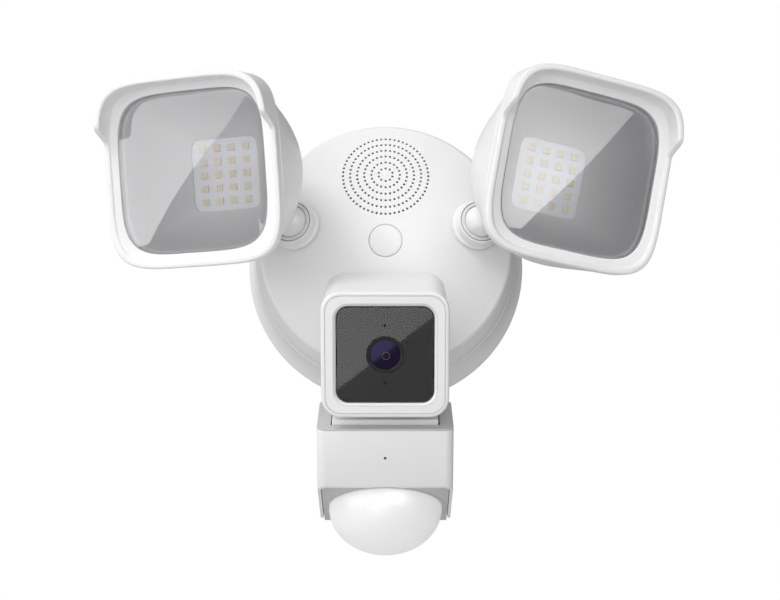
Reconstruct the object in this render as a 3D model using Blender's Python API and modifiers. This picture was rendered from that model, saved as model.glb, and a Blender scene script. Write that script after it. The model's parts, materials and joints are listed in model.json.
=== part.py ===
"""Floodlight security camera: two lamp heads, and a camera on a sensor box, on a round wall base.

The world origin is the centre of the wall face. +X is to the right seen from the front, +Z is up and
-Y points away from the wall. Every group is modelled in its own frame, in which +X is right, +Y is up
and +Z is forward, and each frame's empty sits on the joint that moves it.
"""

import math

import bmesh
import bpy
from mathutils import Matrix, Vector

MM = 0.001
DEG = math.radians(1)
GAP = 0.3 * MM  # clearance between neighbouring pieces
ROUND = 40  # sides of a large turned piece
SMALL_ROUND = 20  # sides of a small turned piece

# Wall base: a tapered drum closed by a shallow dome
BASE_RADIUS = 64.1 * MM
HOUSING_FLARE = 4.7 * MM
SEAM_RADIUS = BASE_RADIUS - HOUSING_FLARE
SEAM_HEIGHT = 26.0 * MM
COVER_TAPER = 3.0 * MM
SHOULDER_RADIUS = SEAM_RADIUS - COVER_TAPER
SHOULDER_HEIGHT = 41.9 * MM
SHOULDER_ROUND = 2.6 * MM
DOME_HEIGHT = 12.2 * MM
COVER_WALL = 2.4 * MM
HOUSING_WALL = 2.2 * MM
FLOOR_BACK = 3.3 * MM
FLOOR_WALL = 3.0 * MM
RIM_BACK = 0.6 * MM
GASKET_THICKNESS = 2.2 * MM
GASKET_WIDTH = 5.0 * MM
BOSS_RADIUS = 3.6 * MM
BOSS_INSET = 7.4 * MM
BOSS_CIRCLE = SHOULDER_RADIUS - BOSS_INSET
BOSS_ANGLES = (34.0 * DEG, 146.0 * DEG, 268.0 * DEG)
CASE_SCREW_RADIUS = 1.3 * MM
CASE_SCREW_LENGTH = 16.0 * MM

# Hanging screw in the middle, its bracket and its plug
PLUG_RADIUS = 7.2 * MM
PLUG_DEPTH = 6.0 * MM
WELL_RADIUS = PLUG_RADIUS + GAP
WELL_FLOOR = 28.0 * MM
WELL_WALL = 2.2 * MM
WELL_SHELF = WELL_FLOOR + WELL_WALL
HANG_SCREW_RADIUS = 2.0 * MM
HANG_SCREW_PLAY = 0.6 * MM
HANG_TUBE_BORE = HANG_SCREW_RADIUS + HANG_SCREW_PLAY
HANG_HEAD_RADIUS = 4.2 * MM
BRACKET_LENGTH = 104.0 * MM
BRACKET_WIDTH = 18.0 * MM
BRACKET_THICKNESS = 1.6 * MM
BRACKET_BACK = 0.4 * MM
SLOT_WIDTH = 4.8 * MM
SLOT_LENGTH = 14.0 * MM
SLOT_PITCH = 88.9 * MM

# Cable entry through the floor
CABLE_AT = (20.0 * MM, 23.0 * MM)
CABLE_HOLE_RADIUS = 7.5 * MM
CABLE_BORE_RADIUS = 4.5 * MM

# Speaker behind the dome
SPEAKER_UP = 31.1 * MM
SPEAKER_RADIUS = 18.0 * MM
MAGNET_RADIUS = 10.0 * MM
SEAL_WIDTH = 2.4 * MM

# Circuit boards in the base: lower corner, upper corner and height above the wall
BOARD_THICKNESS = 1.6 * MM
POST_RADIUS = 2.4 * MM
POWER_BOARD = ((-29.5 * MM, -43.0 * MM), (29.5 * MM, -15.0 * MM), 13.0 * MM)
CONTROL_BOARD = ((-35.0 * MM, 8.0 * MM), (-11.0 * MM, 30.0 * MM), 12.0 * MM)
TRANSFORMER_SIDE = 20.0 * MM
TRANSFORMER_HEIGHT = 15.0 * MM
TRANSFORMER_AT = (-14.0 * MM, -30.0 * MM)
CAPACITOR_RADIUS = 5.0 * MM
CAPACITOR_HEIGHT = 18.0 * MM
CAPACITOR_AT = (5.0 * MM, -33.0 * MM)

# Lamp sockets on the dome
BALL_STANDOFF = 5.5 * MM
BALL_RADIUS = 7.2 * MM
CUP_WALL = 1.5 * MM
CUP_RADIUS = BALL_RADIUS + CUP_WALL
CUP_TOP = 1.2 * MM
CUP_BASE = 2.2 * MM
CUP_FLOOR = BALL_RADIUS + CUP_BASE
CUP_WIRE_HOLE = 3.5 * MM
COLLAR_BORE = CUP_RADIUS + GAP
COLLAR_WALL = 1.0 * MM
COLLAR_RADIUS = COLLAR_BORE + COLLAR_WALL
COLLAR_TOP = 1.0 * MM
FLANGE_WIDTH = 1.2 * MM
FLANGE_RADIUS = COLLAR_RADIUS + FLANGE_WIDTH
NUT_BORE = COLLAR_RADIUS + GAP
NUT_WALL = 2.0 * MM
NUT_THICKNESS = 2.2 * MM
NUT_CLEAR = 3.37 * MM  # from the nut to the shoulder of the cover
SOCKET_REACH = SHOULDER_RADIUS - NUT_BORE - NUT_WALL - NUT_CLEAR
SOCKET_UP = 8.2 * MM
SOCKET_OUT = math.sqrt(SOCKET_REACH**2 - SOCKET_UP**2)
STUB_RADIUS = 8.2 * MM
STUB_BASE = BALL_RADIUS + 0.4 * MM
STUB_LENGTH = 2.8 * MM
STUB_TOP = STUB_BASE + STUB_LENGTH
STEM_RADIUS = 4.4 * MM
SPIGOT_RADIUS = 5.0 * MM
WIRE_BORE_RADIUS = 2.0 * MM

# Lamp heads
HEAD_HALF = 39.2 * MM
HEAD_DEPTH = 55.5 * MM
HEAD_WALL = 2.0 * MM
HEAD_CORNER = 5.0
RIM_WALL = 2.5 * MM
LEDGE_WIDTH = 3.7 * MM
WINDOW_HALF = HEAD_HALF - RIM_WALL - LEDGE_WIDTH
WINDOW_CORNER = 4.6
WINDOW_THICKNESS = 2.0 * MM
FRAME_DEPTH = 3.0 * MM
RIM_HEIGHT = 1.2 * MM
VISOR_REACH = 9.5 * MM
VISOR_FROM = 14.0 * MM
VISOR_FULL = 21.0 * MM
REFLECTOR_WALL = 1.2 * MM
FLANGE_CORNER = 3.6
LAMP_ROOM = 26.3 * MM  # behind the reflector, for the lamp plate, its heat sink and wires
REFLECTOR_DEPTH = HEAD_DEPTH - LAMP_ROOM
LED_PLATE_HALF = 15.2 * MM
LED_BOARD_THICKNESS = 1.6 * MM
LED_CHIP = 3.0 * MM
LED_CHIP_HEIGHT = 0.8 * MM
LED_COLUMNS = 4
LED_ROWS = 5
LED_COLUMN_PITCH = 6.75 * MM
LED_ROW_PITCH = 5.75 * MM
HEAT_SINK_RADIUS = 15.0 * MM
HEAT_SINK_DEPTH = 6.3 * MM
NECK_LEAN = 24.0 * DEG
BALL_INWARD = 0.4745 * HEAD_HALF  # these two keep the neck on the bowl, whose form grows with the head
BALL_DOWN = 0.5587 * HEAD_HALF
BALL_BEHIND = 1.5 * MM
BALL_BACK = HEAD_DEPTH + BALL_BEHIND
BOSS_FACE = STUB_TOP + GAP
BOSS_DEPTH = 5.3 * MM
BOSS_END = BOSS_FACE + BOSS_DEPTH
HEAD_AIM = {  # yaw, pitch and roll of each head as it stands
    "left": (-20.4 * DEG, 13.6 * DEG, -0.9 * DEG),
    "right": (18.7 * DEG, 10.8 * DEG, -7.3 * DEG),
}

# Arm under the base, and the sensor box it carries
ARM_CLEAR = 10.6 * MM  # from the drum down to the arm's hinge
ARM_DROP = SEAM_RADIUS + ARM_CLEAR
ARM_FORWARD = 40.0 * MM
ARM_PITCH = 28.0 * DEG
ARM_KNUCKLE_RADIUS = 6.2 * MM
ARM_TONGUE_HALF = 5.7 * MM
ARM_EAR_THICKNESS = 4.0 * MM
ARM_PIN_RADIUS = 2.2 * MM
PAN_REACH = 13.0 * MM
PAN_DROP = 5.0 * MM
PAN_BARREL_RADIUS = 5.0 * MM
PAN_BARREL_HALF = 6.0 * MM
PAN_EAR_THICKNESS = 4.0 * MM
PAN_PIN_RADIUS = 2.0 * MM
PAN_BEHIND = 41.2 * MM
PAN_BELOW = 13.2 * MM
BOX_WIDTH = 55.7 * MM
BOX_DEPTH = 35.0 * MM
BOX_FRONT = 25.0 * MM
BOX_HEIGHT = 51.1 * MM
BOX_TAPER = 7.0 * MM
BOX_CORNER = 3.6 * MM
BOX_WALL = 1.3 * MM
LID_THICKNESS = 1.5 * MM
SLOT_FRONT = 5.0 * MM
SLOT_BACK = 28.0 * MM
SLOT_SIDE = 5.55 * MM
SLOT_HALF = BOX_WIDTH / 2 - SLOT_SIDE
WELL_DEPTH = 8.0 * MM
FOOT_FRONT_TOP = 2.2 * MM
FOOT_BACK_TOP = 0.4 * MM
DOME_RADIUS = 23.8 * MM
DOME_DEPTH = 19.2 * MM
DOME_FROM_FRONT = 26.0 * MM  # down the sloping face
POD_WALL = 1.2 * MM
POD_HEIGHT = 14.0 * MM
DOME_WALL = 1.4 * MM
DOME_SKIRT = 2.0 * MM
HEAT_SENSOR_RADIUS = 4.6 * MM
HEAT_SENSOR_HEIGHT = 4.2 * MM

# Camera cube
CAMERA_HALF = 25.75 * MM
CAMERA_CORNER = 8.0 * MM
CAMERA_DEPTH = 50.0 * MM
CAMERA_STEP = 0.4 * MM
CAMERA_WALL = 1.8 * MM
BEZEL_DEPTH = 4.5 * MM
CAMERA_BORDER = 6.35 * MM
CAMERA_WINDOW_HALF = CAMERA_HALF - CAMERA_BORDER
CAMERA_WINDOW_CORNER = 4.6 * MM
CAMERA_WINDOW_THICKNESS = 1.2 * MM
CAMERA_PITCH = 5.7 * DEG  # how much less the camera looks down than the box
HINGE_BACK = 17.0 * MM
HINGE_UP = 6.0 * MM
HINGE_IN_SLOT = 15.6 * MM
HINGE_ABOVE_LID = 9.9 * MM
HINGE_TONGUE_HALF = 6.8 * MM
HINGE_TONGUE_RADIUS = 3.1 * MM
HINGE_PIN_RADIUS = 1.5 * MM
SADDLE_SHEET = 1.4 * MM
SADDLE_ROOF = HINGE_TONGUE_RADIUS + 0.8 * MM
LENS_RING_RADIUS = 7.5 * MM
LENS_RADIUS = 6.0 * MM
BARREL_LENGTH = 12.0 * MM
BOARD_SPACING = 10.0 * MM


# ---------------------------------------------------------------- scene and materials

for old in list(bpy.data.objects):
    bpy.data.objects.remove(old, do_unlink=True)

scene = bpy.context.scene
PARTS = bpy.data.collections.new("floodlight_camera")
CUTTERS = bpy.data.collections.new("cutters")
scene.collection.children.link(PARTS)
scene.collection.children.link(CUTTERS)

FINISHES = {  # name: (colour, roughness, metallic, alpha)
    "white_plastic": ((0.86, 0.86, 0.86), 0.38, 0.0, 1.0),
    "grey_plastic": ((0.36, 0.36, 0.37), 0.5, 0.0, 1.0),
    "black_gloss": ((0.02, 0.02, 0.022), 0.12, 0.0, 1.0),
    "black_plastic": ((0.02, 0.02, 0.02), 0.5, 0.0, 1.0),
    "lens_glass": ((0.05, 0.04, 0.12), 0.05, 0.0, 1.0),
    "clear_window": ((0.92, 0.93, 0.94), 0.08, 0.0, 0.35),
    "dome_plastic": ((0.9, 0.9, 0.9), 0.35, 0.0, 1.0),
    "reflector_white": ((0.75, 0.75, 0.76), 0.3, 0.0, 1.0),
    "led_board": ((0.78, 0.78, 0.84), 0.4, 0.0, 1.0),
    "circuit_board": ((0.03, 0.2, 0.09), 0.5, 0.0, 1.0),
    "component_black": ((0.03, 0.03, 0.03), 0.45, 0.0, 1.0),
    "component_yellow": ((0.75, 0.6, 0.12), 0.5, 0.0, 1.0),
    "zinc_steel": ((0.6, 0.6, 0.6), 0.35, 1.0, 1.0),
    "aluminium": ((0.75, 0.76, 0.77), 0.4, 1.0, 1.0),
    "soft_rubber": ((0.05, 0.05, 0.05), 0.8, 0.0, 1.0),
    "white_rubber": ((0.84, 0.84, 0.83), 0.55, 0.0, 1.0),
    "nylon": ((0.8, 0.8, 0.78), 0.5, 0.0, 1.0),
}


def finish_material(name):
    """The Principled material of one finish, made the first time that it is asked for."""
    material = bpy.data.materials.get(name)
    if material:
        return material
    colour, roughness, metallic, alpha = FINISHES[name]
    material = bpy.data.materials.new(name)
    material.use_nodes = True
    shader = material.node_tree.nodes["Principled BSDF"]
    shader.inputs["Base Color"].default_value = (*colour, 1.0)
    shader.inputs["Roughness"].default_value = roughness
    shader.inputs["Metallic"].default_value = metallic
    shader.inputs["Alpha"].default_value = alpha
    return material


def place(name, mesh, parent, finish, matrix=None):
    """Puts a mesh in the scene as a part, or as a hidden cutter where it has no finish."""
    obj = bpy.data.objects.new(name, mesh)
    if finish:
        mesh.materials.append(finish_material(finish))
        PARTS.objects.link(obj)
    else:
        CUTTERS.objects.link(obj)
        obj.hide_render = True
        obj.display_type = "WIRE"
    obj.parent = parent
    if matrix is not None:
        obj.matrix_local = matrix
    return obj


def frame_at(name, parent, location, rotation=None):
    """An empty that carries one group of parts."""
    empty = bpy.data.objects.new(name, None)
    PARTS.objects.link(empty)
    empty.empty_display_size = 0.01
    empty.parent = parent
    turn = rotation.to_4x4() if rotation else Matrix.Identity(4)
    empty.matrix_local = Matrix.Translation(location) @ turn
    return empty


# ---------------------------------------------------------------- shape helpers


def mesh_from(name, bm, smooth=False):
    """Closes off a bmesh as a mesh whose faces point outwards."""
    bmesh.ops.recalc_face_normals(bm, faces=bm.faces)
    mesh = bpy.data.meshes.new(name)
    bm.to_mesh(mesh)
    bm.free()
    if smooth:
        mesh.shade_smooth()
        mesh.set_sharp_from_angle(angle=35 * DEG)
    return mesh


def block(name, low, high, parent, finish=None, rounding=0.0, matrix=None):
    """A box between two opposite corners."""
    bm = bmesh.new()
    bmesh.ops.create_cube(bm, size=1.0)
    low = Vector(low)
    high = Vector(high)
    bmesh.ops.scale(bm, vec=high - low, verts=bm.verts)
    bmesh.ops.translate(bm, vec=(low + high) / 2, verts=bm.verts)
    obj = place(name, mesh_from(name, bm), parent, finish, matrix)
    if rounding:
        round_edges(obj, rounding)
    return obj


def round_edges(obj, width, segments=2):
    bevel = obj.modifiers.new("rounding", "BEVEL")
    bevel.width = width
    bevel.segments = segments
    bevel.limit_method = "ANGLE"
    bevel.angle_limit = 40 * DEG


def rod(name, radius, low, high, parent, finish=None, sides=SMALL_ROUND, axis="Z", centre=(0, 0, 0)):
    """A cylinder along one axis of its frame, from low to high."""
    bm = bmesh.new()
    bmesh.ops.create_cone(
        bm, cap_ends=True, segments=sides, radius1=radius, radius2=radius, depth=high - low
    )
    bmesh.ops.translate(bm, vec=(0, 0, (low + high) / 2), verts=bm.verts)
    if axis == "X":
        bmesh.ops.rotate(bm, matrix=Matrix.Rotation(90 * DEG, 3, "Y"), verts=bm.verts)
    elif axis == "Y":
        bmesh.ops.rotate(bm, matrix=Matrix.Rotation(-90 * DEG, 3, "X"), verts=bm.verts)
    bmesh.ops.translate(bm, vec=centre, verts=bm.verts)
    return place(name, mesh_from(name, bm, smooth=True), parent, finish)


def turned(name, profile, parent, finish=None, sides=ROUND, matrix=None):
    """A closed profile of (radius, height) points, turned about the frame's +Z axis.

    The profile runs down the outer side and back up the inner one, or ends on the axis."""
    mesh = bpy.data.meshes.new(name)
    points = [(radius, 0.0, height) for radius, height in profile]
    edges = [(i, i + 1) for i in range(len(points) - 1)]
    if profile[0][0] > 0:
        edges.append((len(points) - 1, 0))
    mesh.from_pydata(points, edges, [])
    obj = place(name, mesh, parent, finish, matrix)
    screw = obj.modifiers.new("turn", "SCREW")
    screw.steps = sides
    screw.render_steps = sides
    screw.use_merge_vertices = True
    screw.merge_threshold = 0.00001
    return obj


def arc(radius, start, end, steps, centre=(0.0, 0.0)):
    """Points along an arc, at angles measured from the profile's outward direction."""
    turns = [start + (end - start) * i / steps for i in range(steps + 1)]
    return [(centre[0] + radius * math.cos(t), centre[1] + radius * math.sin(t)) for t in turns]


def prism(name, outline, low, high, parent, finish=None, matrix=None):
    """A flat outline of (y, z) points, extruded along X from low to high."""
    bm = bmesh.new()
    corners = [bm.verts.new((low, y, z)) for y, z in outline]
    side = bm.faces.new(corners)
    grown = bmesh.ops.extrude_face_region(bm, geom=[side])
    moved = [item for item in grown["geom"] if isinstance(item, bmesh.types.BMVert)]
    bmesh.ops.translate(bm, vec=(high - low, 0, 0), verts=moved)
    return place(name, mesh_from(name, bm), parent, finish, matrix)


def squircle(half, exponent, height, sides=28, tilt=None):
    """A ring of points between a circle (exponent 2) and a square; tilt gives each point its height."""
    points = []
    for i in range(sides):
        angle = 2 * math.pi * (i + 0.5) / sides
        c = math.cos(angle)
        s = math.sin(angle)
        reach = half * (abs(c) ** exponent + abs(s) ** exponent) ** (-1 / exponent)
        x = reach * c
        y = reach * s
        points.append(Vector((x, y, tilt(y) if tilt else height)))
    return points


def loft(name, rings, parent, finish=None, looped=False, matrix=None):
    """Skin between rings of equal counts: a ring-shaped solid where looped, else one with flat ends."""
    bm = bmesh.new()
    rows = [[bm.verts.new(point) for point in ring] for ring in rings]
    pairs = list(zip(rows, rows[1:]))
    if looped:
        pairs.append((rows[-1], rows[0]))
    for row, following in pairs:
        for i in range(len(row)):
            j = (i + 1) % len(row)
            bm.faces.new((row[i], row[j], following[j], following[i]))
    if not looped:
        bm.faces.new(rows[0])
        bm.faces.new(rows[-1])
    return place(name, mesh_from(name, bm, smooth=True), parent, finish, matrix)


def rounded_rectangle(half_x, half_y, corner, height, steps=4):
    """A ring of points around a rectangle with round corners."""
    points = []
    for quarter in range(4):
        start = quarter * 90 * DEG
        sign_x = 1 if quarter in (0, 3) else -1
        sign_y = 1 if quarter in (0, 1) else -1
        for i in range(steps + 1):
            angle = start + 90 * DEG * i / steps
            x = sign_x * (half_x - corner) + corner * math.cos(angle)
            y = sign_y * (half_y - corner) + corner * math.sin(angle)
            points.append(Vector((x, y, height)))
    return points


def subtract(target, *tools):
    for tool in tools:
        cut = target.modifiers.new("cut_" + tool.name, "BOOLEAN")
        cut.operation = "DIFFERENCE"
        cut.object = tool


def unite(target, *tools):
    for tool in tools:
        joined = target.modifiers.new("join_" + tool.name, "BOOLEAN")
        joined.operation = "UNION"
        joined.object = tool


def keep_inside(target, tool):
    kept = target.modifiers.new("keep_" + tool.name, "BOOLEAN")
    kept.operation = "INTERSECT"
    kept.object = tool


# ---------------------------------------------------------------- wall base

BASE = frame_at("base_frame", None, (0, 0, 0), Matrix.Rotation(90 * DEG, 3, "X"))

DOME_TOP = SHOULDER_HEIGHT + DOME_HEIGHT
DOME_SPHERE = (SHOULDER_RADIUS**2 + DOME_HEIGHT**2) / (2 * DOME_HEIGHT)
DOME_CENTRE = DOME_TOP - DOME_SPHERE


def dome_height(radius, inset=0.0):
    """Height of the dome above the wall at a radius, or of the surface parallel to it."""
    return DOME_CENTRE + math.sqrt((DOME_SPHERE - inset) ** 2 - radius**2)


def dome_point(x, y):
    """A point on the dome and its outward direction, in the base frame."""
    point = Vector((x, y, dome_height(math.hypot(x, y))))
    return point, (point - Vector((0, 0, DOME_CENTRE))).normalized()


BOSS_PLACES = [
    (BOSS_CIRCLE * math.cos(angle), BOSS_CIRCLE * math.sin(angle)) for angle in BOSS_ANGLES
]


def make_wall_gasket():
    outer = BASE_RADIUS - HOUSING_WALL - 2 * GAP
    inner = outer - GASKET_WIDTH
    profile = [(outer, GASKET_THICKNESS), (outer, 0), (inner, 0), (inner, GASKET_THICKNESS)]
    turned("wall_gasket", profile, BASE, "soft_rubber")


def make_bracket():
    top = BRACKET_BACK + BRACKET_THICKNESS
    half = BRACKET_LENGTH / 2
    bracket = block(
        "mounting_bracket",
        (-half, -BRACKET_WIDTH / 2, BRACKET_BACK),
        (half, BRACKET_WIDTH / 2, top),
        BASE,
        "zinc_steel",
    )
    hole = rod("bracket_hole", HANG_SCREW_RADIUS + GAP, -1 * MM, top + 1 * MM, BASE)
    subtract(bracket, hole)
    for side in (-1, 1):
        centre = side * SLOT_PITCH / 2
        ring = rounded_rectangle(SLOT_LENGTH / 2, SLOT_WIDTH / 2, SLOT_WIDTH / 2 - 0.01 * MM, 0, 3)
        low = [point + Vector((centre, 0, -1 * MM)) for point in ring]
        high = [point + Vector((centre, 0, top + 1 * MM)) for point in ring]
        subtract(bracket, loft(f"bracket_slot_{side}", [low, high], BASE))


def make_rear_housing():
    floor_top = FLOOR_BACK + FLOOR_WALL
    lip_outer = SEAM_RADIUS - COVER_WALL - 4 * GAP
    lip_inner = lip_outer - 1.6 * MM
    rim_inner = BASE_RADIUS - HOUSING_WALL
    tube_outer = HANG_TUBE_BORE + 3.4 * MM
    profile = [
        (lip_outer, SEAM_HEIGHT + 2.6 * MM),
        (lip_outer, SEAM_HEIGHT - GAP),
        (SEAM_RADIUS, SEAM_HEIGHT - GAP),
        (SEAM_RADIUS + 0.5 * MM, 18 * MM),
        (SEAM_RADIUS + 1.6 * MM, 11 * MM),
        (BASE_RADIUS - 1.2 * MM, 5.4 * MM),
        (BASE_RADIUS, 3.4 * MM),
        (BASE_RADIUS, RIM_BACK),
        (rim_inner, RIM_BACK),
        (rim_inner, FLOOR_BACK),
        (HANG_TUBE_BORE, FLOOR_BACK),
        (HANG_TUBE_BORE, WELL_FLOOR - GAP),
        (tube_outer, WELL_FLOOR - GAP),
        (tube_outer, floor_top),
        (rim_inner - 3.6 * MM, floor_top),
        (SEAM_RADIUS - HOUSING_WALL, 12 * MM),
        (lip_inner, SEAM_HEIGHT - 4 * MM),
        (lip_inner, SEAM_HEIGHT + 2.6 * MM),
    ]
    housing = turned("rear_housing", profile, BASE, "white_plastic")
    for index, (x, y) in enumerate(BOSS_PLACES, 1):
        hole = rod(
            f"housing_hole_{index}",
            CASE_SCREW_RADIUS + GAP,
            0,
            floor_top + 1 * MM,
            BASE,
            sides=12,
            centre=(x, y, 0),
        )
        subtract(housing, hole)
    cable = rod(
        "housing_cable_hole",
        CABLE_HOLE_RADIUS,
        0,
        floor_top + 1 * MM,
        BASE,
        centre=(*CABLE_AT, 0),
    )
    subtract(housing, cable)
    for index, (x, y, top) in enumerate(BOARD_POSTS, 1):
        post = rod(
            f"board_post_{index}",
            POST_RADIUS,
            FLOOR_BACK + 1 * MM,
            top,
            BASE,
            sides=12,
            centre=(x, y, 0),
        )
        unite(housing, post)


def make_cable_grommet():
    inside = FLOOR_BACK + FLOOR_WALL + GAP
    outside = FLOOR_BACK - GAP
    waist = CABLE_HOLE_RADIUS - GAP
    brim = CABLE_HOLE_RADIUS + 1.6 * MM
    profile = [
        (brim - 0.6 * MM, inside + 1.6 * MM),
        (brim, inside + 1.0 * MM),
        (brim, inside),
        (waist, inside),
        (waist, outside),
        (brim, outside),
        (brim, outside - 1.4 * MM),
        (CABLE_BORE_RADIUS, outside - 1.4 * MM),
        (CABLE_BORE_RADIUS, inside + 1.6 * MM),
    ]
    matrix = Matrix.Translation((*CABLE_AT, 0))
    turned("cable_grommet", profile, BASE, "soft_rubber", SMALL_ROUND, matrix)


def make_front_cover():
    rim = SEAM_HEIGHT + GAP
    inner_rim = SEAM_RADIUS - COVER_WALL
    radii = [WELL_RADIUS] + [share * SHOULDER_RADIUS for share in (0.32, 0.51, 0.69, 0.85)]
    outer = [(r, dome_height(r)) for r in radii]
    edge = SHOULDER_RADIUS - SHOULDER_ROUND
    corner = (edge, dome_height(edge) - SHOULDER_ROUND)
    outer += arc(SHOULDER_ROUND, 66 * DEG, 10 * DEG, 3, corner)
    outer += [(SEAM_RADIUS - 1.6 * MM, SHOULDER_HEIGHT - 5 * MM), (SEAM_RADIUS - 0.3 * MM, rim)]
    well_outer = WELL_RADIUS + WELL_WALL
    inner = [(inner_rim - 0.1 * MM, rim), (SHOULDER_RADIUS - COVER_WALL, SHOULDER_HEIGHT - 6 * MM)]
    radii = [share * SHOULDER_RADIUS for share in (0.92, 0.8, 0.62, 0.39)] + [well_outer]
    inner += [(r, dome_height(r, COVER_WALL)) for r in radii]
    inner += [
        (well_outer, WELL_FLOOR),
        (HANG_TUBE_BORE, WELL_FLOOR),
        (HANG_TUBE_BORE, WELL_SHELF),
        (WELL_RADIUS, WELL_SHELF),
    ]
    cover = turned("front_cover", outer + inner, BASE, "white_plastic")
    top = dome_height(BOSS_CIRCLE) - COVER_WALL / 2
    foot = FLOOR_BACK + FLOOR_WALL + GAP
    for index, (x, y) in enumerate(BOSS_PLACES, 1):
        post = rod(f"cover_boss_{index}", BOSS_RADIUS, foot, top, BASE, sides=16, centre=(x, y, 0))
        bore = rod(
            f"cover_boss_bore_{index}",
            CASE_SCREW_RADIUS + GAP,
            foot - 1 * MM,
            foot + CASE_SCREW_LENGTH,
            BASE,
            sides=12,
            centre=(x, y, 0),
        )
        unite(cover, post)
        subtract(cover, bore)
    for side, frame in SOCKET.items():
        hole = rod(
            f"socket_hole_{side}",
            COLLAR_RADIUS + GAP,
            -16 * MM,
            8 * MM,
            frame,
            sides=32,
        )
        subtract(cover, hole)
    make_arm_ears(cover)


def make_arm_ears(cover):
    """Two moulded lugs under the drum, with the arm's pin hole through both."""
    wall = SEAM_RADIUS - COVER_WALL / 2
    root_back = SEAM_HEIGHT + 3 * MM
    root_front = SHOULDER_HEIGHT - 1 * MM
    circle = arc(ARM_KNUCKLE_RADIUS, 0, 180 * DEG, 10)
    tip = [(-ARM_DROP - s, ARM_FORWARD + c) for c, s in circle]
    outline = [(-wall, root_front), *tip, (-wall, root_back)]
    inner = ARM_TONGUE_HALF + GAP
    for side in (-1, 1):
        edges = sorted((side * inner, side * (inner + ARM_EAR_THICKNESS)))
        unite(cover, prism(f"arm_ear_{side}", outline, *edges, BASE))
    bore = rod(
        "arm_ear_bore",
        ARM_PIN_RADIUS + GAP,
        -20 * MM,
        20 * MM,
        BASE,
        axis="X",
        centre=(0, -ARM_DROP, ARM_FORWARD),
    )
    subtract(cover, bore)


def make_arm_pin():
    reach = ARM_TONGUE_HALF + GAP + ARM_EAR_THICKNESS
    head = ARM_PIN_RADIUS + 1.4 * MM
    profile = [
        (0, reach + 0.4 * MM),
        (ARM_PIN_RADIUS - 0.4 * MM, reach + 0.4 * MM),
        (ARM_PIN_RADIUS, reach),
        (ARM_PIN_RADIUS, -reach - GAP),
        (head, -reach - GAP),
        (head, -reach - 1.4 * MM),
        (head - 0.5 * MM, -reach - 1.8 * MM),
        (0, -reach - 1.8 * MM),
    ]
    matrix = Matrix.Translation((0, -ARM_DROP, ARM_FORWARD)) @ Matrix.Rotation(90 * DEG, 4, "Y")
    turned("arm_pin", profile, BASE, "zinc_steel", SMALL_ROUND, matrix)


def make_case_screws():
    under = FLOOR_BACK - GAP
    for index, (x, y) in enumerate(BOSS_PLACES, 1):
        profile = [
            (0, under + CASE_SCREW_LENGTH),
            (CASE_SCREW_RADIUS, under + CASE_SCREW_LENGTH),
            (CASE_SCREW_RADIUS, under),
            (2 * CASE_SCREW_RADIUS, under),
            (2 * CASE_SCREW_RADIUS, under - 1.0 * MM),
            (1.6 * CASE_SCREW_RADIUS, under - 1.6 * MM),
            (0, under - 1.6 * MM),
        ]
        matrix = Matrix.Translation((x, y, 0))
        turned(f"case_screw_{index}", profile, BASE, "zinc_steel", 12, matrix)


def make_hanging_screw():
    under_head = WELL_SHELF + GAP
    profile = [
        (0, under_head + 3.0 * MM),
        (0.7 * HANG_HEAD_RADIUS, under_head + 3.0 * MM),
        (HANG_HEAD_RADIUS, under_head + 2.0 * MM),
        (HANG_HEAD_RADIUS, under_head),
        (HANG_SCREW_RADIUS, under_head),
        (HANG_SCREW_RADIUS, BRACKET_BACK),
        (0, BRACKET_BACK),
    ]
    turned("hanging_screw", profile, BASE, "zinc_steel", SMALL_ROUND)


def make_screw_plug():
    top = [(r, dome_height(r)) for r in (0.0, 0.5 * PLUG_RADIUS, PLUG_RADIUS - 0.3 * MM)]
    foot = DOME_TOP - PLUG_DEPTH
    profile = [
        *top,
        (PLUG_RADIUS, dome_height(PLUG_RADIUS) - 0.3 * MM),
        (PLUG_RADIUS, foot),
        (0, foot),
    ]
    turned("screw_plug", profile, BASE, "white_rubber", 32)


# ---------------------------------------------------------------- speaker and boards in the base

def posts_under(board, inset):
    (low_x, low_y), (high_x, high_y), height = board
    return [
        (low_x + inset, low_y + inset, height - GAP),
        (high_x - inset, high_y - inset, height - GAP),
        (low_x + inset, high_y - inset, height - GAP),
        (high_x - inset, low_y + inset, height - GAP),
    ]


BOARD_POSTS = posts_under(POWER_BOARD, 4 * MM) + posts_under(CONTROL_BOARD, 3.5 * MM)


def make_board(name, board):
    (low_x, low_y), (high_x, high_y), height = board
    low = (low_x, low_y, height)
    high = (high_x, high_y, height + BOARD_THICKNESS)
    block(name, low, high, BASE, "circuit_board")


def make_electronics():
    make_board("power_board", POWER_BOARD)
    make_board("control_board", CONTROL_BOARD)
    power_top = POWER_BOARD[2] + BOARD_THICKNESS + GAP
    x, y = TRANSFORMER_AT
    half = TRANSFORMER_SIDE / 2
    block(
        "transformer",
        (x - half, y - half, power_top),
        (x + half, y + half, power_top + TRANSFORMER_HEIGHT),
        BASE,
        "component_yellow",
        1.0 * MM,
    )
    rod(
        "filter_capacitor",
        CAPACITOR_RADIUS,
        power_top,
        power_top + CAPACITOR_HEIGHT,
        BASE,
        "component_black",
        centre=(*CAPACITOR_AT, 0),
    )


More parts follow.
